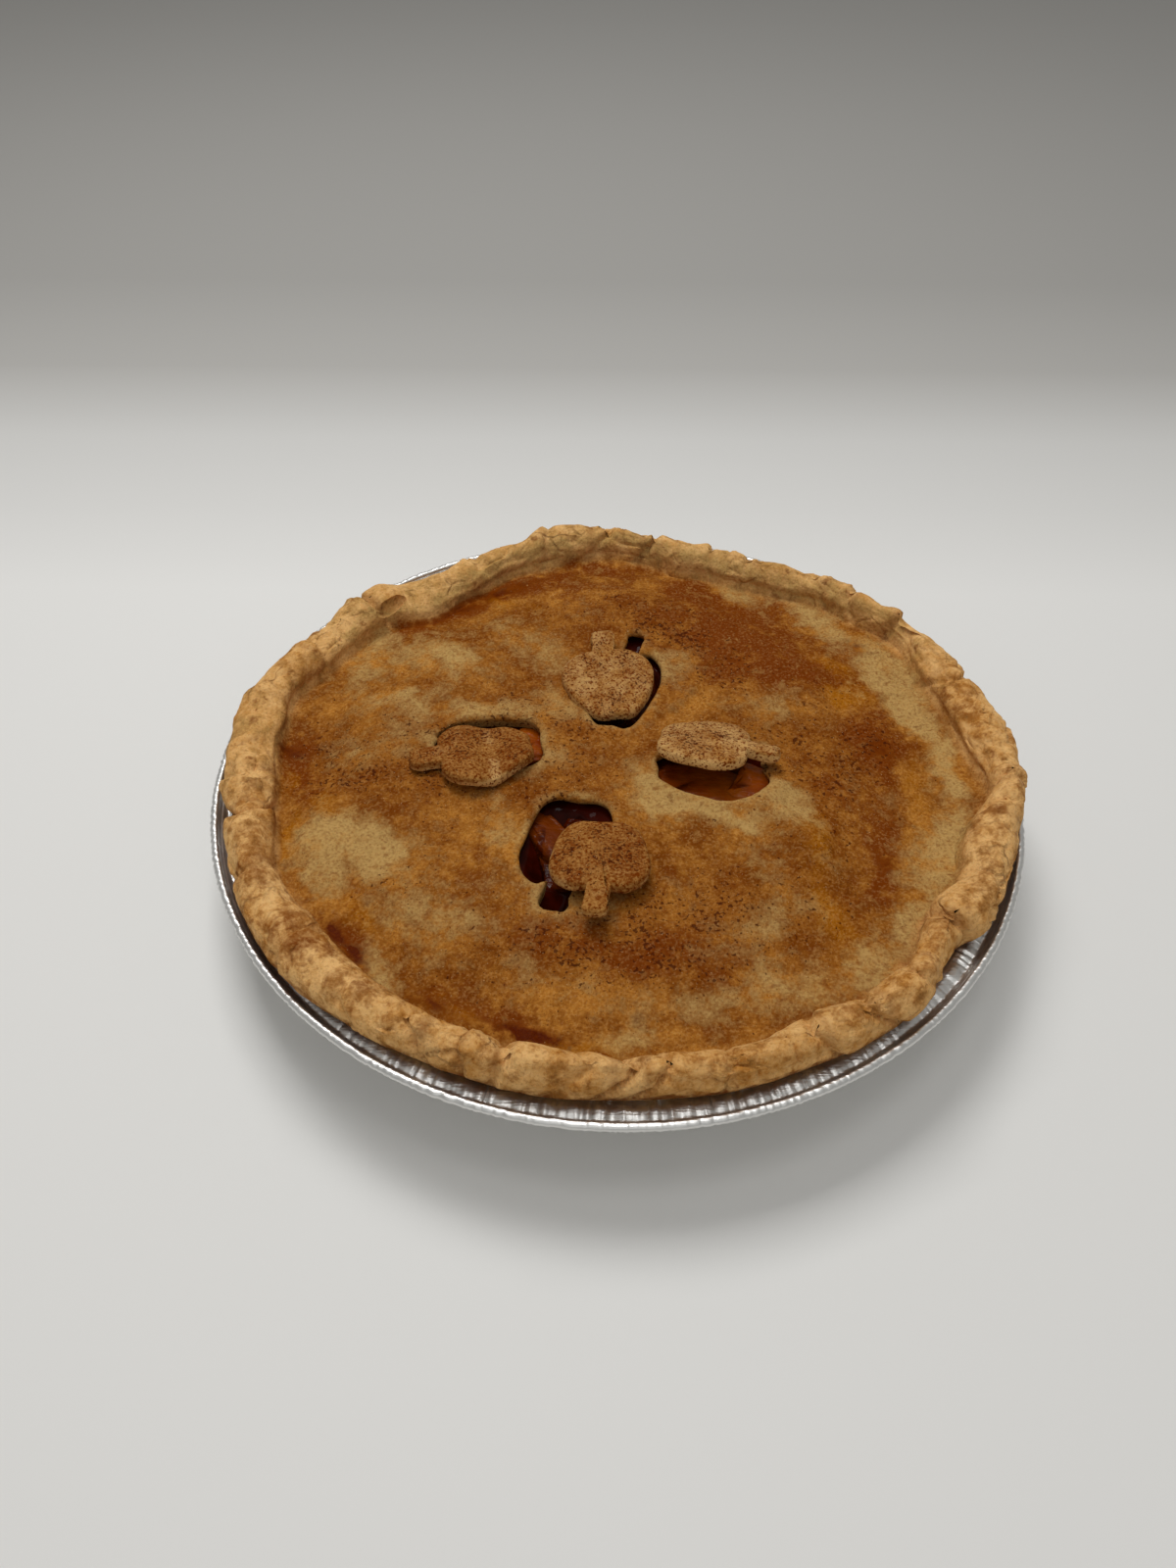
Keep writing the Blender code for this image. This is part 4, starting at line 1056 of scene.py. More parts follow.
# Section of the roll before it is shaped: radius and height over the rim in mm.
ROLL_SECTION = (
    (103.0, 2.7), (104.2, 5.2), (104.9, 7.8), (106.4, 10.2), (108.6, 11.8), (111.0, 12.3), (113.2, 11.3),
    (115.0, 9.2), (115.9, 6.4), (115.8, 3.6), (114.9, 1.2), (113.6, -0.8), (112.6, -2.2),
)


@dataclass
class PastryCrust:
    """The pastry shell: bottom crust, rolled rim and lid in one, with vents cut through the lid."""

    form: PieForm
    steps: int = 710
    lid_step: float = 1.3 * MM
    roll_rows: int = 48
    flake_height: float = 0.52 * MM
    blister_height: float = 0.3 * MM
    room_on_right: float = 0.4 * MM
    # Winding ridges and creases: size, depth and the shift of their noise.
    lid_ridges: Bumps = ((17.0 * MM, 0.7 * MM, 6.2), (9.0 * MM, 0.4 * MM, 1.4))
    roll_creases: Bumps = ((13.0 * MM, 0.9 * MM, 2.2), (7.0 * MM, 0.45 * MM, 8.6))

    def profile(self) -> list[tuple[float, float]]:
        """The nominal section, from the lid's middle over the roll and down to the base."""
        f = self.form
        radii = [0.0, 2.5 * MM] + list(np.arange(4.5 * MM, 100.5 * MM, self.lid_step)) + [101.2 * MM]
        points = [(float(r), f.rim_z + 5.0 * MM) for r in radii]
        points += [(r * MM, f.rim_z + z * MM) for r, z in spline(ROLL_SECTION, self.roll_rows)]
        points.append((float(f.tin_inner(f.wall_top_z)) - f.gap, f.wall_top_z + 0.7 * MM))
        for z in (f.wall_top_z - 0.8 * MM, 3.4 * MM):
            points.append((float(f.tin_inner(z)) - f.gap, z))
        return points + [(f.base_r - 4.5 * MM, f.foil + f.gap), (0.0, f.foil + f.gap)]

    def shape(self, p: np.ndarray) -> np.ndarray:
        """Carries the nominal section's points to the baked form.

        Args:
            p: Points of the turned section.

        Returns:
            The same points where the baked pastry has them.
        """
        f = self.form
        rho, z = np.hypot(p[:, 0], p[:, 1]), p[:, 2].copy()
        safe = np.maximum(rho, 1e-9)
        ux, uy = p[:, 0] / safe, p[:, 1] / safe
        theta = bearing(p[:, 0], p[:, 1])
        inner, outer = f.roll_inner(theta), f.roll_outer(theta)
        on_lid = (z > f.rim_z) & (rho < 101.5 * MM)
        on_roll = ~on_lid & (z > f.rim_z - 1.0 * MM)
        lid_rho = rho * (1.0 + (inner / f.inner_r - 1.0) * smooth(rho, 50.0 * MM, 100.0 * MM))
        hold = smooth(z, f.rim_z - 3.0 * MM, f.rim_z + 0.5 * MM)
        share = (rho - f.inner_r) / (115.9 * MM - f.inner_r)
        roll_rho = rho + (inner + share * (outer - inner) - rho) * hold
        roll_rho = np.where(z > f.wall_top_z + 0.5 * MM, roll_rho, rho)
        new_rho = np.where(on_lid, lid_rho, roll_rho)
        x, y = new_rho * ux, new_rho * uy
        lid_z = f.lid(x, y) + self.lid_detail(x, y, f.inner_r - rho)
        rise = (z - f.rim_z) / f.roll_top
        near_lid = on_roll & (new_rho < inner + 1.0 * MM) & (rise < 0.3)
        base = np.where(near_lid, 0.5 * (z + lid_z), z)
        solid = np.stack([x, y, z], -1)
        lump = 0.9 * MM * rough(solid, 11.0 * MM, 1.7)
        fold = np.zeros(len(p))
        fold[on_roll] = self.roll_detail(solid[on_roll], theta[on_roll], rise[on_roll])
        weight = np.clip(rise, 0.0, None)
        crease = swellings(theta, CREASES)
        roll_z = base + weight * (swellings(theta, TOP_SWELLINGS) - 0.9 * crease + lump + 0.8 * fold)
        bulge = smooth(rise, 0.0, 0.4)
        side = np.where(new_rho > 0.5 * (inner + outer), 1.0, -0.6)
        roll_rho = new_rho + bulge * (lump - 0.5 * crease + 0.9 * fold) * side
        foot = hump(rise - 0.34, 0.16) * (new_rho < 0.5 * (inner + outer))
        roll_rho = roll_rho + 1.1 * MM * foot * (0.6 + 0.5 * np.sin(np.radians(theta * 7 + 30)))
        new_rho = np.where(on_roll, roll_rho, new_rho)
        z = np.where(on_lid, lid_z, np.where(on_roll, roll_z, z))
        new_rho, z = f.clear_of_tin(new_rho, z)
        return np.stack([new_rho * ux, new_rho * uy, z], -1)

    def lid_detail(self, x: np.ndarray, y: np.ndarray, inside: np.ndarray) -> np.ndarray:
        """Fine relief of the lid: ridges, blisters, cracks and the softened edges of the vents.

        Args:
            x: Places across.
            y: Places towards the back.
            inside: How far each is inside the roll.

        Returns:
            A height for each place.
        """
        flat = on_plane(x, y)
        fade = smooth(inside, 0.0, 5.0 * MM)
        detail = MM * patches(x, y, FINE_MOUNDS)
        detail += self.flake_height * rough(flat, 8.0 * MM, 4.4)
        for wave, depth, shift in self.lid_ridges:
            line = rough(flat, wave, shift)
            detail += depth * smooth(rough(flat, 2.2 * wave, shift + 5.0), -0.1, 0.3) * hump(line, 0.1)
        blister = rough(flat, 3.4 * MM, 9.1)
        detail += self.blister_height * blister + 0.12 * MM * rough(flat, 1.5 * MM, 2.3)
        for x0, y0, x1, y1, width, depth in CRACKS:
            a, ab = np.array([x0, y0]) * MM, np.array([x1 - x0, y1 - y0]) * MM
            q = flat[:, :2] - a
            t = np.clip(q @ ab / (ab @ ab), 0.0, 1.0)
            away = np.linalg.norm(q - t[:, None] * ab, axis=1) + 0.5 * MM * rough(flat, 4 * MM, 6.6)
            detail -= depth * MM * hump(away, width * MM)
        for fruit in VENTS.values():
            d = fruit.distance(x, y)
            detail -= 0.55 * MM * np.clip(1.0 - d / (1.0 * MM), 0.0, 1.5) ** 2
            detail += 0.55 * MM * hump(d - 1.6 * MM, 2.0 * MM)
        return detail * fade

    def roll_detail(self, p: np.ndarray, theta: np.ndarray, rise: np.ndarray) -> np.ndarray:
        """Fine relief of the roll: flaky lumps, finger tucks and a lengthwise fold.

        Args:
            p: Points on the roll.
            theta: Their angles in degrees.
            rise: Their heights, from 0 at the rim to 1 at the roll's top.

        Returns:
            How far each stands out.
        """
        around = np.stack([p[:, 0], p[:, 1], 1.8 * p[:, 2]], -1)
        slant = theta + 6.5 * (rise - 0.5) * np.sin(np.radians(theta * 5)) + 0.8 * rough(p, 5.0 * MM, 4.2)
        detail = 0.75 * MM * rough(around, 7.0 * MM, 3.9) + 0.22 * MM * rough(around, 2.6 * MM, 7.2)
        detail += 0.10 * MM * rough(around, 1.2 * MM, 5.0)
        detail -= 1.25 * swellings(slant, TUCKS)
        # Beside each tuck the dough laps over its neighbour: a sharp step that dies away round the roll.
        for centre, _, size in TUCKS:
            away = past(slant, centre)
            detail += 1.0 * size * MM * smooth(away, 0.1, 0.9) * np.exp(-np.clip(away, 0.0, None) / 3.2)
        # Winding creases, as in dough that was squeezed by hand.
        for wave, depth, shift in self.roll_creases:
            line = rough(around, wave, shift)
            where = smooth(rough(around, 2.0 * wave, shift + 3.0), -0.15, 0.25)
            detail -= depth * where * hump(line, 0.055)
            detail += 0.4 * depth * where * hump(line - 0.14, 0.09)
        wander = 0.62 + 0.22 * np.sin(np.radians(theta * 3 + 40)) + 0.12 * np.sin(np.radians(theta * 11))
        seam = hump(rise - wander, 0.07) * smooth(np.sin(np.radians(theta * 4 + 25)), -0.2, 0.5)
        return detail - 0.55 * MM * seam

    def cavity(self) -> bpy.types.Object:
        """The room that the filling takes, cut from the shell."""
        f = self.form
        radii = np.array((0, 15, 29, 43, 56, 68, 79, 88, 95, 99)) * MM
        obj = turned("filling_room", filling_profile(f, radii, 0.0, 7.0 * MM, 9.5 * MM), 96)
        p = points_of(obj.data)
        top = p[:, 2] > f.rim_z - 0.1 * MM
        p[top] = under_lid(f, p[top], 0.0)
        set_points(obj.data, p)
        return obj

    def cutters(self) -> list[bpy.types.Object]:
        """The vents' prisms and the two open folds of the roll."""
        made = []
        for vent, fruit in VENTS.items():
            work = bmesh.new()
            outline = fruit.outline(4)
            turn = np.array(fruit.turn())[:2, :2]
            rings = []
            # The dough thinned towards each cut, so the cut widens under a thin edge.
            wide = 0.3 if vent is Vent.LEFT else 1.0
            for spread, depth in ((0.2, None), (0.17, 4.4), (0.03, 1.9), (0.0, 1.0), (0.0, -9.0)):
                at = outline @ turn.T * (1.0 + wide * spread) + np.array([fruit.x, fruit.y]) * MM
                height = np.full(len(at), 28 * MM) if depth is None else self.form.lid(*at.T) - depth * MM
                rings.append([work.verts.new((x, y, z)) for (x, y), z in zip(at, height)])
            work.faces.new(rings[0])
            work.faces.new(rings[-1])
            for low, high in zip(rings, rings[1:]):
                for i in range(len(outline)):
                    j = (i + 1) % len(outline)
                    work.faces.new((low[i], low[j], high[j], high[i]))
            bmesh.ops.recalc_face_normals(work, faces=work.faces)
            made.append(new_object("vent_" + vent.value, to_mesh(work, "vent_" + vent.value)))
        for angle, rho, rise, half_sizes in OPEN_FOLDS:
            a = math.radians(angle)
            work = bmesh.new()
            bmesh.ops.create_uvsphere(work, u_segments=32, v_segments=20, radius=1.0)
            centre = (rho * MM * math.cos(a), rho * MM * math.sin(a), (31.0 + rise) * MM)
            place = (Matrix.Translation(centre) @ Matrix.Rotation(a + math.pi / 2, 4, "Z")
                     @ Matrix.Diagonal((*[h * MM for h in half_sizes], 1.0)))
            bmesh.ops.transform(work, matrix=place, verts=work.verts)
            for v in work.verts:
                v.co += v.normal * 0.35 * MM * noise.noise(v.co / (2.5 * MM))
            made.append(new_object("open_fold", to_mesh(work, "open_fold")))
        return made

    def dress(self, mesh: bpy.types.Mesh) -> None:
        """Paints how each place baked, with painted shade and painted light on the roll and the lid."""
        f = self.form
        p = points_of(mesh)
        x, y, z = p.T
        rho = np.hypot(x, y)
        theta = bearing(x, y)
        inner = f.roll_inner(theta)
        flat = on_plane(x, y)
        ragged = 5.0 * MM * rough(flat, 12.0 * MM, 8.8) + 2.4 * MM * rough(flat, 4.0 * MM, 1.9)
        ragged_y = 5.0 * MM * rough(flat, 12.0 * MM, 5.5) + 2.4 * MM * rough(flat, 4.0 * MM, 6.1)
        rim = smooth(rho - inner, -2.2 * MM, 0.8 * MM)
        lid = 1.0 - rim
        mottled = rough(flat, 16.0 * MM, 2.7, 3)
        qx, qy = x + ragged, y + ragged_y
        brown = lid * (patches(qx, qy, BROWN) + 0.18 * mottled)
        high = smooth(z, f.rim_z + 6 * MM, f.rim_z + 13 * MM)
        crest = rim * (0.05 + 0.20 * high + 0.30 * np.clip(rough(p, 7.0 * MM, 4.1, 2), 0, 1))
        pale = lid * patches(qx, qy, PALE)
        outside = smooth(rho - 0.5 * (inner + f.roll_outer(theta)), 0.0, 3.0 * MM)
        # Painted shade: the roll's outer side is painted browner low down, towards the flange.
        under = outside * rim * (1.0 - smooth(z, f.rim_z + 1.0 * MM, f.rim_z + 7.0 * MM))
        back = smooth(y, 10.0 * MM, 80.0 * MM)
        # Painted light: the roll is painted paler at the back, most on its inner face by the lid, and a
        # painted highlight lies on the roll at the left.
        painted_light = rim * back * (0.35 + 0.4 * hump(rho - inner - 1.2 * MM, 1.6 * MM))
        painted_light += 0.4 * rim * hump(theta - 178.0, 12.0)
        # Painted shade: the roll at its front left is painted browner.
        painted_shade_front_left = rim * 0.22 * hump(theta - 219.0, 14.0)
        syrup = lid * patches(x + 0.4 * ragged, y + 0.4 * ragged_y, SYRUP_AND_SHADE)
        spice = lid * np.clip(patches(qx, qy, SPICE) + 0.25, 0, 1) * (1.0 - 0.6 * np.clip(pale, 0, 1))
        spice = spice + 0.06 * rim
        cleft = (np.clip(swellings(theta, TUCKS) / (1.4 * MM), 0, 1) * rim
                 * smooth(z, f.rim_z + 3 * MM, f.rim_z + 8 * MM))
        # Painted shade: a dark line along the roll's foot, where the roll overhangs the lid.
        foot = 1.0 - smooth(z - f.lid(x, y), 0.4 * MM, 1.6 * MM)
        ditch = foot * hump(rho - inner - 0.2 * MM, 0.7 * MM) * (0.8 + 0.4 * mottled)
        greasy = lid * np.clip(patches(qx, qy, YELLOW) + 0.5 * patches(qx, qy, BROWN), 0, 1)
        inside_vent, lip = np.zeros_like(x), np.zeros_like(x)
        for fruit in VENTS.values():
            d = fruit.distance(x, y)
            lip += hump(d - 0.9 * MM, 1.3 * MM) * (0.55 + 0.6 * mottled)
            inside_vent += (hump(np.clip(d, 0, None), 1.2 * MM)
                            * smooth(-z, -(f.rim_z + 7.4 * MM), -(f.rim_z + 5.2 * MM)))
        # Brown carries painted shade on the roll's outer lower side and front left, and the crest browns less
        # towards the back, painting the roll paler there; pale carries painted light; syrup carries painted
        # shade by the roll at the back left.
        paint(mesh, "bake", (brown + crest * (1.0 - 0.6 * back) + 0.62 * under + painted_shade_front_left,
                             pale + painted_light + 0.5 * inside_vent + 0.7 * lip, syrup))
        paint(mesh, "zone", (rim, lid * patches(qx, qy, YELLOW), spice))
        paint(mesh, "more", (0.5 * cleft + ditch, greasy, inside_vent))

    def build(self) -> bpy.types.Object:
        """Builds the shell.

        Returns:
            The finished piece, which stands for the CAD pastry.
        """
        obj = turned("baked_crust", self.profile(), self.steps)
        p = self.shape(points_of(obj.data))
        # The bulge on the right stays within the solid's reach.
        reach = float(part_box("pastry_crust")[1][0]) - self.room_on_right
        p[:, 0] = np.where(p[:, 0] > reach, reach + 0.5 * (p[:, 0] - reach), p[:, 0])
        set_points(obj.data, p)
        room, tools = self.cavity(), self.cutters()
        for tool in (room, *tools):
            boolean = obj.modifiers.new("cut", "BOOLEAN")
            boolean.operation = "DIFFERENCE"
            boolean.solver = "MANIFOLD"
            boolean.object = tool
        made = plain_mesh(obj)
        for tool in (room, *tools):
            bpy.data.objects.remove(tool, do_unlink=True)
        weld(made.data)
        self.dress(made.data)
        finish_piece(made, "pastry", [BakedShortcrust().build()], "pastry_crust", sharp=55.0)
        return made


def filling_profile(form: PieForm, radii: np.ndarray, inset: float, shoulder: float,
                    foot: float) -> list[tuple[float, float]]:
    """Section of the filling or of its room.

    Args:
        form: The pie.
        radii: Where the upper face has rings.
        inset: How far it is drawn in from the pastry.
        shoulder: How far its side starts under the rim.
        foot: How far its floor ends inside the tin's base.

    Returns:
        Points of (radius, height) from the middle of the top round to the middle of the floor.
    """
    floor = form.foil + form.gap + form.bottom_crust + inset
    side = [(float(form.tin_inner(z)) - form.wall_crust - inset, z)
            for z in (form.rim_z - shoulder, floor + 9.0 * MM, floor + 1.5 * MM)]
    return [(float(r), form.rim_z) for r in radii] + side + [
        (form.base_r - foot, floor), (44.0 * MM, floor), (0.0, floor)]


def under_lid(form: PieForm, p: np.ndarray, inset: float) -> np.ndarray:
    """Sets points of the filling's upper face under the lid, drawn in by inset.

    Args:
        form: The pie.
        p: Points of the upper face.
        inset: How far it stays under the lid.

    Returns:
        The points where they belong.
    """
    x, y = p[:, 0].copy(), p[:, 1].copy()
    theta = bearing(x, y)
    rho = np.hypot(x, y)
    room = np.minimum(form.roll_inner(theta) / form.inner_r, 1.0)
    scale = 1.0 + (room - 1.0) * 0.6 * smooth(rho, 60.0 * MM, 99.0 * MM)
    x, y = x * scale, y * scale
    drop = 1.2 * MM * smooth(rho, 84.0 * MM, 98.0 * MM)
    return np.stack([x, y, form.lid(x, y, False) - form.lid_thickness - drop - inset], -1)


@dataclass
class FruitFilling:
    """The filling under the lid: its syrup body, and the slices that show in the vents."""

    form: PieForm
    inset: float = 0.35 * MM
    bowl_depth: float = 5.0 * MM
    boxiness: float = 0.42
    arch: float = 0.22

    def body(self) -> bpy.types.Object:
        """The syrup-bound body, dished under each vent."""
        f, inset = self.form, self.inset
        radii = np.append(np.arange(0, 72, 1.5), (79, 88, 95, 98.6)) * MM
        obj = turned("filling_body", filling_profile(f, radii, inset, 7.4 * MM, 9.9 * MM), 240)
        p = points_of(obj.data)
        top = p[:, 2] > f.rim_z - 0.1 * MM
        q = under_lid(f, p[top], inset)
        for fruit in VENTS.values():
            q[:, 2] -= self.bowl_depth * smooth(-fruit.distance(q[:, 0], q[:, 1]), -1.0 * MM, 7.0 * MM)
        wet = q[:, 2] < f.lid(q[:, 0], q[:, 1], False) - f.lid_thickness - inset - 1.0 * MM
        q[wet, 2] += 0.8 * MM * rough(q[wet], 4.5 * MM, 3.3, 2)
        p[top] = q
        set_points(obj.data, p)
        # Boiled syrup is dark, clear red-brown and wet.
        syrup = PlainFinish("cinnamon syrup", "240500", "460E02", roughness=0.08, mottle=4.0 * MM,
                            specular=0.05)
        finish_piece(obj, "filling", [syrup.build()], "filling")
        return obj

    def slices(self) -> bpy.types.Object:
        """The fruit slices: broad wedges with flat faces and soft edges, in one mesh."""
        work = bmesh.new()
        redness: list[float] = []
        for vent, rows in SLICES.items():
            fruit = VENTS[vent]
            for index, (dx, dy, heading, half_length, half_width, drop, roll, pitch, red) in enumerate(rows):
                made = bmesh.ops.create_uvsphere(work, u_segments=48, v_segments=32, radius=1.0)["verts"]
                redness += [red] * len(made)
                at = np.array([(fruit.x + dx) * MM]), np.array([(fruit.y + dy) * MM])
                half_height = 0.5 * (SLICE_FOOT - drop)
                ceiling = float(self.form.lid(*at, False)[0]) - self.form.lid_thickness - self.inset
                for v in made:
                    u = v.co.copy()
                    along, across, up = (math.copysign(abs(c) ** self.boxiness, c) for c in u)
                    arc = self.arch * half_width * along * along
                    v.co = Vector((along * half_length, across * half_width + arc, up * half_height)) * MM
                    lump = Vector((u.x * 2.2, u.y * 1.6, u.z * 1.6 + index * 3.7 + fruit.x))
                    v.co += u * (0.7 * noise.noise(lump) + 0.16 * noise.noise(lump * 5.0)) * MM
                centre = (float(at[0][0]), float(at[1][0]), ceiling - drop * MM - half_height * MM)
                place = (Matrix.Translation(centre)
                         @ Matrix.Rotation(math.radians(heading), 4, "Z")
                         @ Matrix.Rotation(math.radians(roll), 4, "X")
                         @ Matrix.Rotation(math.radians(pitch), 4, "Y"))
                bmesh.ops.transform(work, matrix=place, verts=made)
        bmesh.ops.recalc_face_normals(work, faces=work.faces)
        mesh = to_mesh(work, "fruit_slices")
        paint(mesh, "red", (np.array(redness),))
        obj = new_object("fruit_slices", mesh)
        finish_piece(obj, "filling", [StewedFruit().build()], "filling")
        return obj

    def build(self) -> list[bpy.types.Object]:
        """Builds the filling's pieces, which stand for the CAD filling."""
        return [self.body(), self.slices()]


@dataclass
class CutPieces:
    """The four pastry pieces that were cut from the vents and baked on top."""

    form: PieForm
    thickness: float = 3.6 * MM
    droop: float = 1.1 * MM
    rounding: float = 1.3 * MM
    rings: int = 16
    headroom: float = 0.17 * MM
    browned: dict[Vent, float] = field(default_factory=lambda: {
        Vent.LEFT: 0.28, Vent.BACK: -0.1, Vent.RIGHT: -0.2, Vent.FRONT: 0.5})

    def mesh(self, vent: Vent, fruit: Fruit) -> bpy.types.Mesh:
        """One piece round its own centre: a domed top, a rounded side and a flat underside.

        Args:
            vent: The vent that it was cut from.
            fruit: Its outline.

        Returns:
            The piece's mesh.
        """
        outline = fruit.outline(5)
        count = len(outline)
        reach = 0.5 * fruit.length * MM
        work = bmesh.new()
        rows = []
        layers = [(t, 0.0) for t in np.linspace(0, 1, self.rings + 1)[1:]]
        layers += [(1.0, -0.28), (1.01, -0.6), (0.985, -0.92), (0.95, -1.0), (0.5, -1.0)]
        top = work.verts.new((0, 0, 0))
        for share, depth in layers:
            rows.append([work.verts.new((x * share, y * share, depth * self.thickness)) for x, y in outline])
        bottom = work.verts.new((0, 0, -self.thickness))
        for i in range(count):
            j = (i + 1) % count
            work.faces.new((top, rows[0][j], rows[0][i]))
            for a, b in zip(rows, rows[1:]):
                work.faces.new((a[i], a[j], b[j], b[i]))
            work.faces.new((bottom, rows[-1][i], rows[-1][j]))
        stem = 1.4 * MM if vent is Vent.BACK else 0.0
        valley = 2.2 * MM if vent is Vent.LEFT else 0.0
        for v in work.verts:
            away = v.co.xy.length / reach
            v.co.z -= (0.2 if vent is Vent.BACK else 1.0) * self.droop * min(away, 1.2) ** 2
            v.co.z += 0.5 * MM * noise.noise(Vector((v.co.x, v.co.y, fruit.x * MM)) / (9 * MM))
            v.co.z += stem * max((v.co.y - 0.8 * reach) / (9 * MM), 0.0)
            v.co.z += valley * (0.6 - math.exp(-((v.co.y + 2 * MM) / (5 * MM)) ** 2))
        xy = np.array([v.co.xy[:] for v in work.verts])
        d = -distance_to_outline(xy[:, 0], xy[:, 1], outline)
        for v, inside in zip(work.verts, d):
            upper = v.co.z > -0.45 * self.thickness - self.droop * min(v.co.xy.length / reach, 1.2) ** 2
            if upper:
                soft = max(1.0 - inside / self.rounding, 0.0)
                v.co.z -= 0.75 * MM * min(soft, 1.3) ** 2
                v.co.z += 0.14 * MM * noise.noise(Vector((v.co.x, v.co.y, fruit.y * MM)) / (2.2 * MM))
        bmesh.ops.recalc_face_normals(work, faces=work.faces)
        return to_mesh(work, "cut_piece_" + vent.value)

    def dress(self, mesh: bpy.types.Mesh, local: np.ndarray, outline: np.ndarray, browned: float) -> None:
        """Paints a piece: golden, spiced and sugared on top, paler down its side, with painted shade at its
        foot.

        Args:
            mesh: The piece's mesh.
            local: Its points before it was laid in place.
            outline: Its outline.
            browned: How brown its top is, below 0 for pale.
        """
        x, y, z = local.T
        inside = -distance_to_outline(x, y, outline)
        top = smooth(z, -2.6 * MM, -1.4 * MM)
        level = z + self.droop * np.minimum(np.hypot(x, y) / (14.0 * MM), 1.25) ** 2
        side = (1.0 - smooth(level, -1.3 * MM, -0.4 * MM)) * (1.0 - 1.2 * max(browned, 0.0))
        edge = hump(inside, 1.6 * MM)
        blotch = rough(points_of(mesh), 7.0 * MM, 3.1, 2)
        paint(mesh, "bake", (0.2 * edge * top + max(browned, 0.0) * np.clip(blotch + 0.4, 0, 1) * top,
                             1.2 * side + (0.3 - browned) * top, 0 * x))
        paint(mesh, "zone", (0.25 + 0 * x, 0 * x, top * np.clip(0.8 + 0.6 * blotch, 0, 1) * (1 - 0.5 * edge)))
        # Painted shade: the lowest part of each piece, where it meets the lid, is painted browner.
        paint(mesh, "more", (0.2 * (1 - smooth(z, -5.0 * MM, -4.2 * MM)), 0 * x, 0 * x))

    def build(self) -> list[bpy.types.Object]:
        """Builds the four pieces where the CAD ones lie."""
        finish = BakedShortcrust(
            name="sugared shortcrust", cream="9C662C", golden="7C4616", rim_gold="8A5420", rim_pale="C09050",
            pale="DDB272", speck=0.45 * MM, dusting=1.35, sandy=1.3).build()
        made = []
        for vent, fruit in CUT_PIECES.items():
            mesh = self.mesh(vent, fruit)
            local = points_of(mesh)
            turn = Matrix.Rotation(math.radians(fruit.tilt), 4, "X") @ fruit.turn()
            mesh.transform(turn)
            top = float(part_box("cutout_" + vent.value)[1][2]) - self.headroom
            lift = top - float(points_of(mesh)[:, 2].max())
            mesh.transform(Matrix.Translation((fruit.x * MM, fruit.y * MM, lift)))
            self.dress(mesh, local, fruit.outline(5), self.browned[vent])
            obj = new_object(mesh.name, mesh)
            finish_piece(obj, "sugared_pastry", [finish], "cutout_" + vent.value)
            made.append(obj)
        return made


@dataclass
class Scatter:
    """Small things strewn over the pastry by Geometry Nodes: spice, sugar or crumbs.

    They lie where the pastry's painted attribute says, by its channel from the floor up to 1, and only
    on the outside, above the lowest height. Density is in grains to the square metre.
    """

    name: str
    finish: bpy.types.Material
    size: float
    density: float
    seed: int
    floor: float = 0.1
    attribute: str = "zone"
    channel: int = 2
    squash: float = 0.8
    smallest: float = 0.45
    sides: int = 4
    lowest: float = 29.0 * MM

    def tree(self) -> bpy.types.NodeTree:
        """The tree that strews grains, with named inputs for density, size and seed."""
        tree, add, given = new_tree("strew " + self.name, ("Density", "Size"), ("Seed",))
        colour = add("GeometryNodeInputNamedAttribute", {"Name": self.attribute}, data_type="FLOAT_COLOR")
        painted = add("FunctionNodeSeparateColor", (colour,)).outputs[self.channel]
        up = add(SPLIT, (add("GeometryNodeInputNormal"),)).outputs[2]
        height = add(SPLIT, (add("GeometryNodeInputPosition"),)).outputs[2]
        # Only the outside carries grains: the room under the lid ends below the lowest height.
        outside = add(MATH, (height, self.lowest), operation="GREATER_THAN")
        dense = add(RANGE, (painted, self.floor, 1.0))
        for share in (given["Density"], add(RANGE, (up, 0.3, 0.7)), outside):
            dense = add(MATH, (dense, share), **TIMES)
        spots = add("GeometryNodeDistributePointsOnFaces", {"Mesh": given[0], "Density": dense,
                                                            "Seed": given["Seed"]})
        grain = add("GeometryNodeMeshUVSphere", {"Radius": 0.5, "Segments": self.sides, "Rings": 2})
        spin = add("FunctionNodeRandomValue", {0: (0, 0, 0), 1: (math.tau, math.tau, math.tau),
                                               "Seed": self.seed + 1}, data_type="FLOAT_VECTOR")
        portion = add("FunctionNodeRandomValue", {2: self.smallest, 3: 1.0, "Seed": self.seed + 2},
                      data_type="FLOAT")
        width = add(MATH, (portion, given["Size"]), **TIMES)
        scale = add(JOIN, (width, width, add(MATH, (width, self.squash), **TIMES)))
        put = add("GeometryNodeInstanceOnPoints", {"Points": spots, "Instance": grain, "Rotation": spin,
                                                   "Scale": scale})
        real = add("GeometryNodeRealizeInstances", (put,))
        add("NodeGroupOutput", (add("GeometryNodeSetMaterial", {"Geometry": real, "Material": self.finish}),))
        return tree

    def build(self, ground: Sequence[bpy.types.Object]) -> bpy.types.Object:
        """Strews the grains over pieces.

        Args:
            ground: The pieces that carry them.

        Returns:
            One plain mesh of all the grains.
        """
        joined = bmesh.new()
        for obj in ground:
            joined.from_mesh(obj.data)
        obj = new_object(self.name, to_mesh(joined, self.name))
        strew = obj.modifiers.new("strew", "NODES")
        strew.node_group = self.tree()
        set_inputs(strew, {"Density": self.density, "Size": self.size, "Seed": self.seed})
        obj = plain_mesh(obj)
        finish_piece(obj, "sugared_pastry", [self.finish])
        return obj


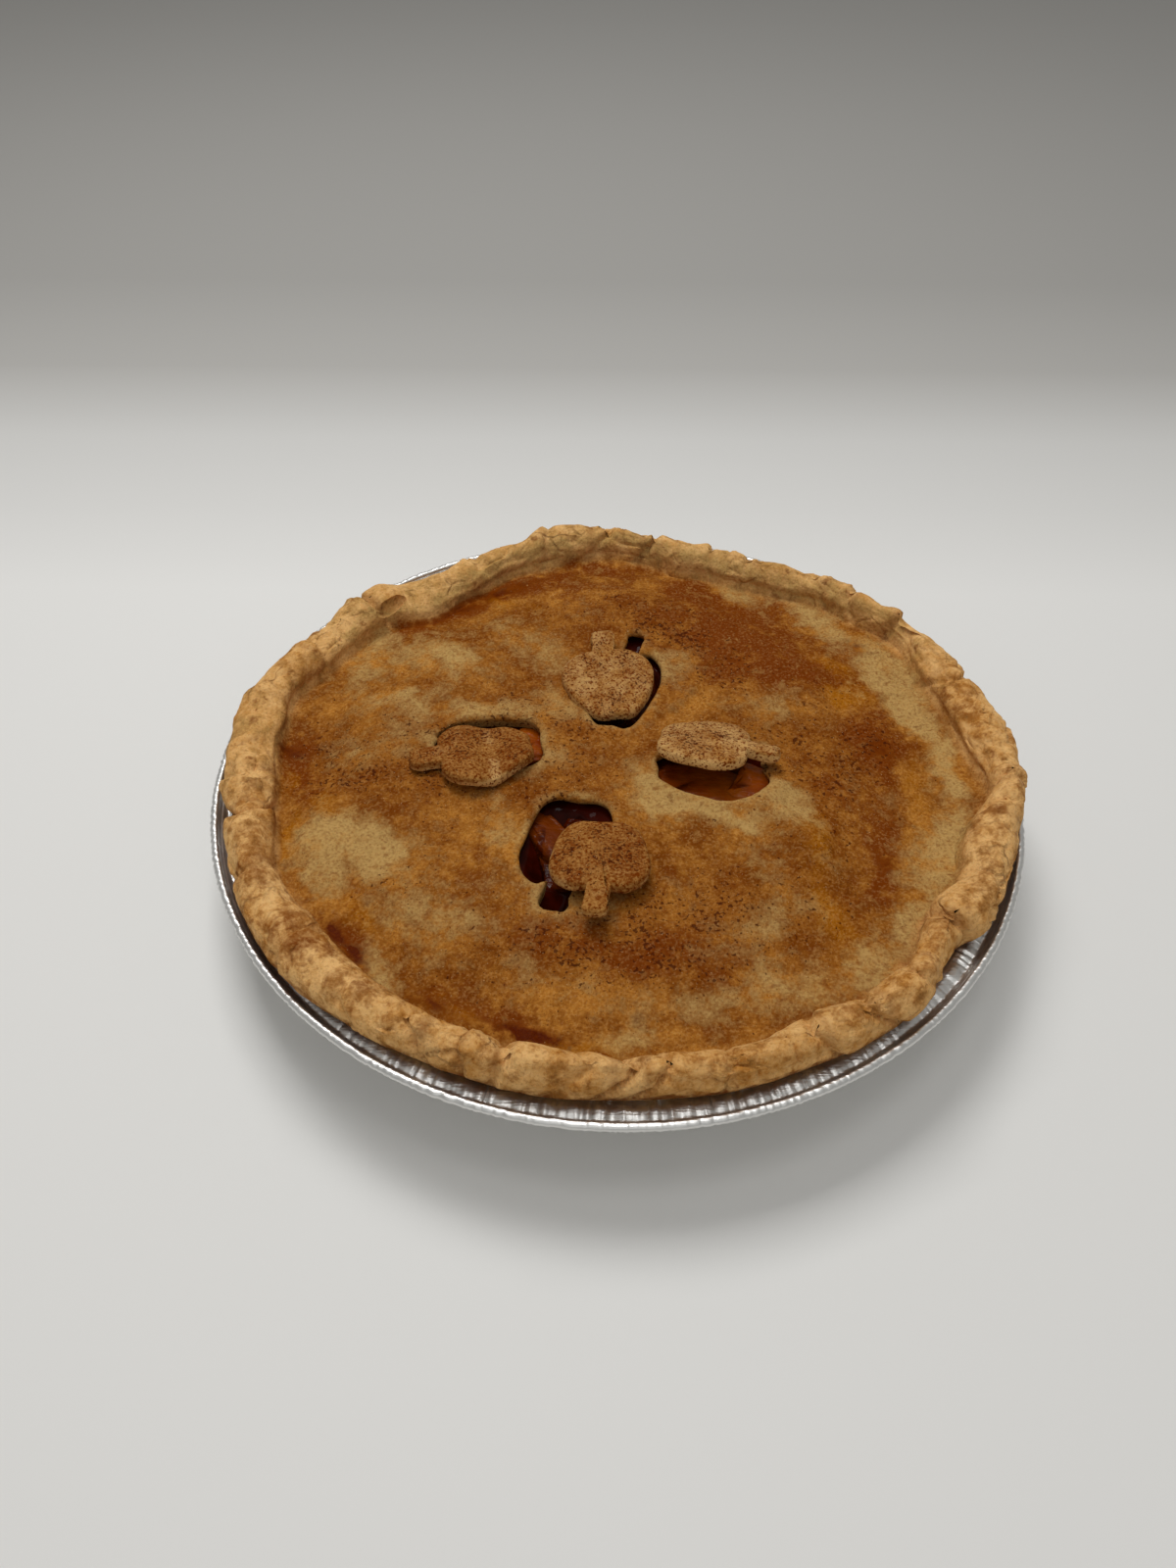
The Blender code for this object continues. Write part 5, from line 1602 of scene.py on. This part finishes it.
@dataclass
class Setting:
    """The pale floor, soft light and camera.

    The camera was fitted to points picked on the bead in the photo. The floor's tones were tuned against
    the photo's brightness.
    """

    painted_floor_shade: tuple[tuple[float, str], ...] = (
        (0.02, "E4E3E0"), (0.12, "D8D7D4"), (0.22, "CECDCA"), (0.34, "B0AEAA"), (0.52, "A3A19D"),
        (0.98, "A5A39F"))
    lamps: tuple[tuple[str, tuple[float, float, float], float, float], ...] = (
        ("overhead", (-0.16, 0.38, 1.0), 0.45, 5.6), ("ceiling", (0.06, -0.18, 1.15), 0.3, 1.2),
        ("fill", (0.0, -0.9, 0.9), 1.2, 1.6))
    sky: str = "F2F1EE"
    sky_strength: float = 0.36
    sensor_width: float = 36.0
    nearest: float = 0.01
    floor_span: tuple[float, float] = (0.12, 0.72)
    floor_reach: float = 6.0
    camera_at: tuple[float, float, float] = (-0.0087, -0.2573, 0.2874)
    pitch: float = 45.74
    roll: float = 0.44
    lens: float = 27.05

    def floor(self) -> None:
        """A large matt board, whose far part is painted darker as painted shade."""
        work = bmesh.new()
        bmesh.ops.create_grid(work, x_segments=1, y_segments=1, size=self.floor_reach)
        obj = new_object("floor", to_mesh(work, "floor"))
        material, add, shader, place = new_material("pale matt board")
        depth = add(RANGE, (add(SPLIT, (place,)).outputs[1], *self.floor_span))
        shade = add("ShaderNodeValToRGB", (depth,))
        for position, colour in self.painted_floor_shade:
            shade.color_ramp.elements.new(position).color = linear(colour)
        # The ramp's own two ends go.
        for end in (0, -1):
            shade.color_ramp.elements.remove(shade.color_ramp.elements[end])
        feed(shader, {"Base Color": shade, "Roughness": 0.6, "Specular IOR Level": 0.3})
        obj.data.materials.append(material)

    def lights(self) -> None:
        """A soft lamp above and behind, a small one above the front, a dim fill and an even sky."""
        for name, at, size, power in self.lamps:
            lamp = bpy.data.lights.new(name, "AREA")
            lamp.shape = "SQUARE"
            lamp.size = size
            lamp.energy = power
            obj = bpy.data.objects.new(name, lamp)
            bpy.context.scene.collection.objects.link(obj)
            obj.location = at
            obj.rotation_euler = (-Vector(at)).to_track_quat("-Z", "Y").to_euler()
        world = bpy.data.worlds.new("soft sky")
        world.use_nodes = True
        sky = world.node_tree.nodes["Background"]
        feed(sky, {"Color": self.sky, "Strength": self.sky_strength})
        bpy.context.scene.world = world

    def camera(self) -> None:
        """The camera, held above the front of the pie and looking down."""
        pitch, roll = math.radians(self.pitch), math.radians(self.roll)
        ahead = Vector((0, math.cos(pitch), -math.sin(pitch)))
        right = Vector((1, 0, 0))
        up = right.cross(ahead)
        turned_right = right * math.cos(roll) + up * math.sin(roll)
        turned_up = up * math.cos(roll) - right * math.sin(roll)
        data = bpy.data.cameras.new("camera")
        data.lens = self.lens
        data.sensor_width = self.sensor_width
        data.clip_start = self.nearest
        obj = bpy.data.objects.new("camera", data)
        bpy.context.scene.collection.objects.link(obj)
        turn = Matrix((turned_right, turned_up, -ahead)).transposed().to_4x4()
        obj.matrix_world = Matrix.Translation(self.camera_at) @ turn
        bpy.context.scene.camera = obj
        bpy.context.scene.view_settings.view_transform = "Standard"


def main() -> None:
    """Builds the pie in order, from the tin up."""
    logging.basicConfig(level=logging.INFO, format="%(message)s")
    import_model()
    setting = Setting()
    setting.floor()
    setting.lights()
    setting.camera()
    form = PieForm()
    FoilTin(form).build()
    crust = PastryCrust(form).build()
    FruitFilling(form).build()
    pieces = CutPieces(form).build()
    # Ground spice is dull and dark, sugar is glassy and pale, and crumbs look like the pastry.
    cinnamon = PlainFinish("ground cinnamon", "4A1B05", "72360E", roughness=0.95, specular=0.04).build()
    sugar = PlainFinish("sugar crystals", "C8A878", "E2C89C", roughness=0.3).build()
    crumb = PlainFinish("pastry crumbs", "C99A5E", "A9713A", roughness=0.7, mottle=0.8 * MM).build()
    Scatter("cinnamon_grains", cinnamon, size=0.32 * MM, density=1.45e6, seed=11, floor=0.12).build(
        [crust, *pieces])
    Scatter("sugar_grains", sugar, size=0.3 * MM, density=8e4, seed=23).build([crust, *pieces])
    Scatter("pastry_crumbs", crumb, size=0.9 * MM, density=2500.0, seed=31).build([crust])


if __name__ == "__main__":
    main()
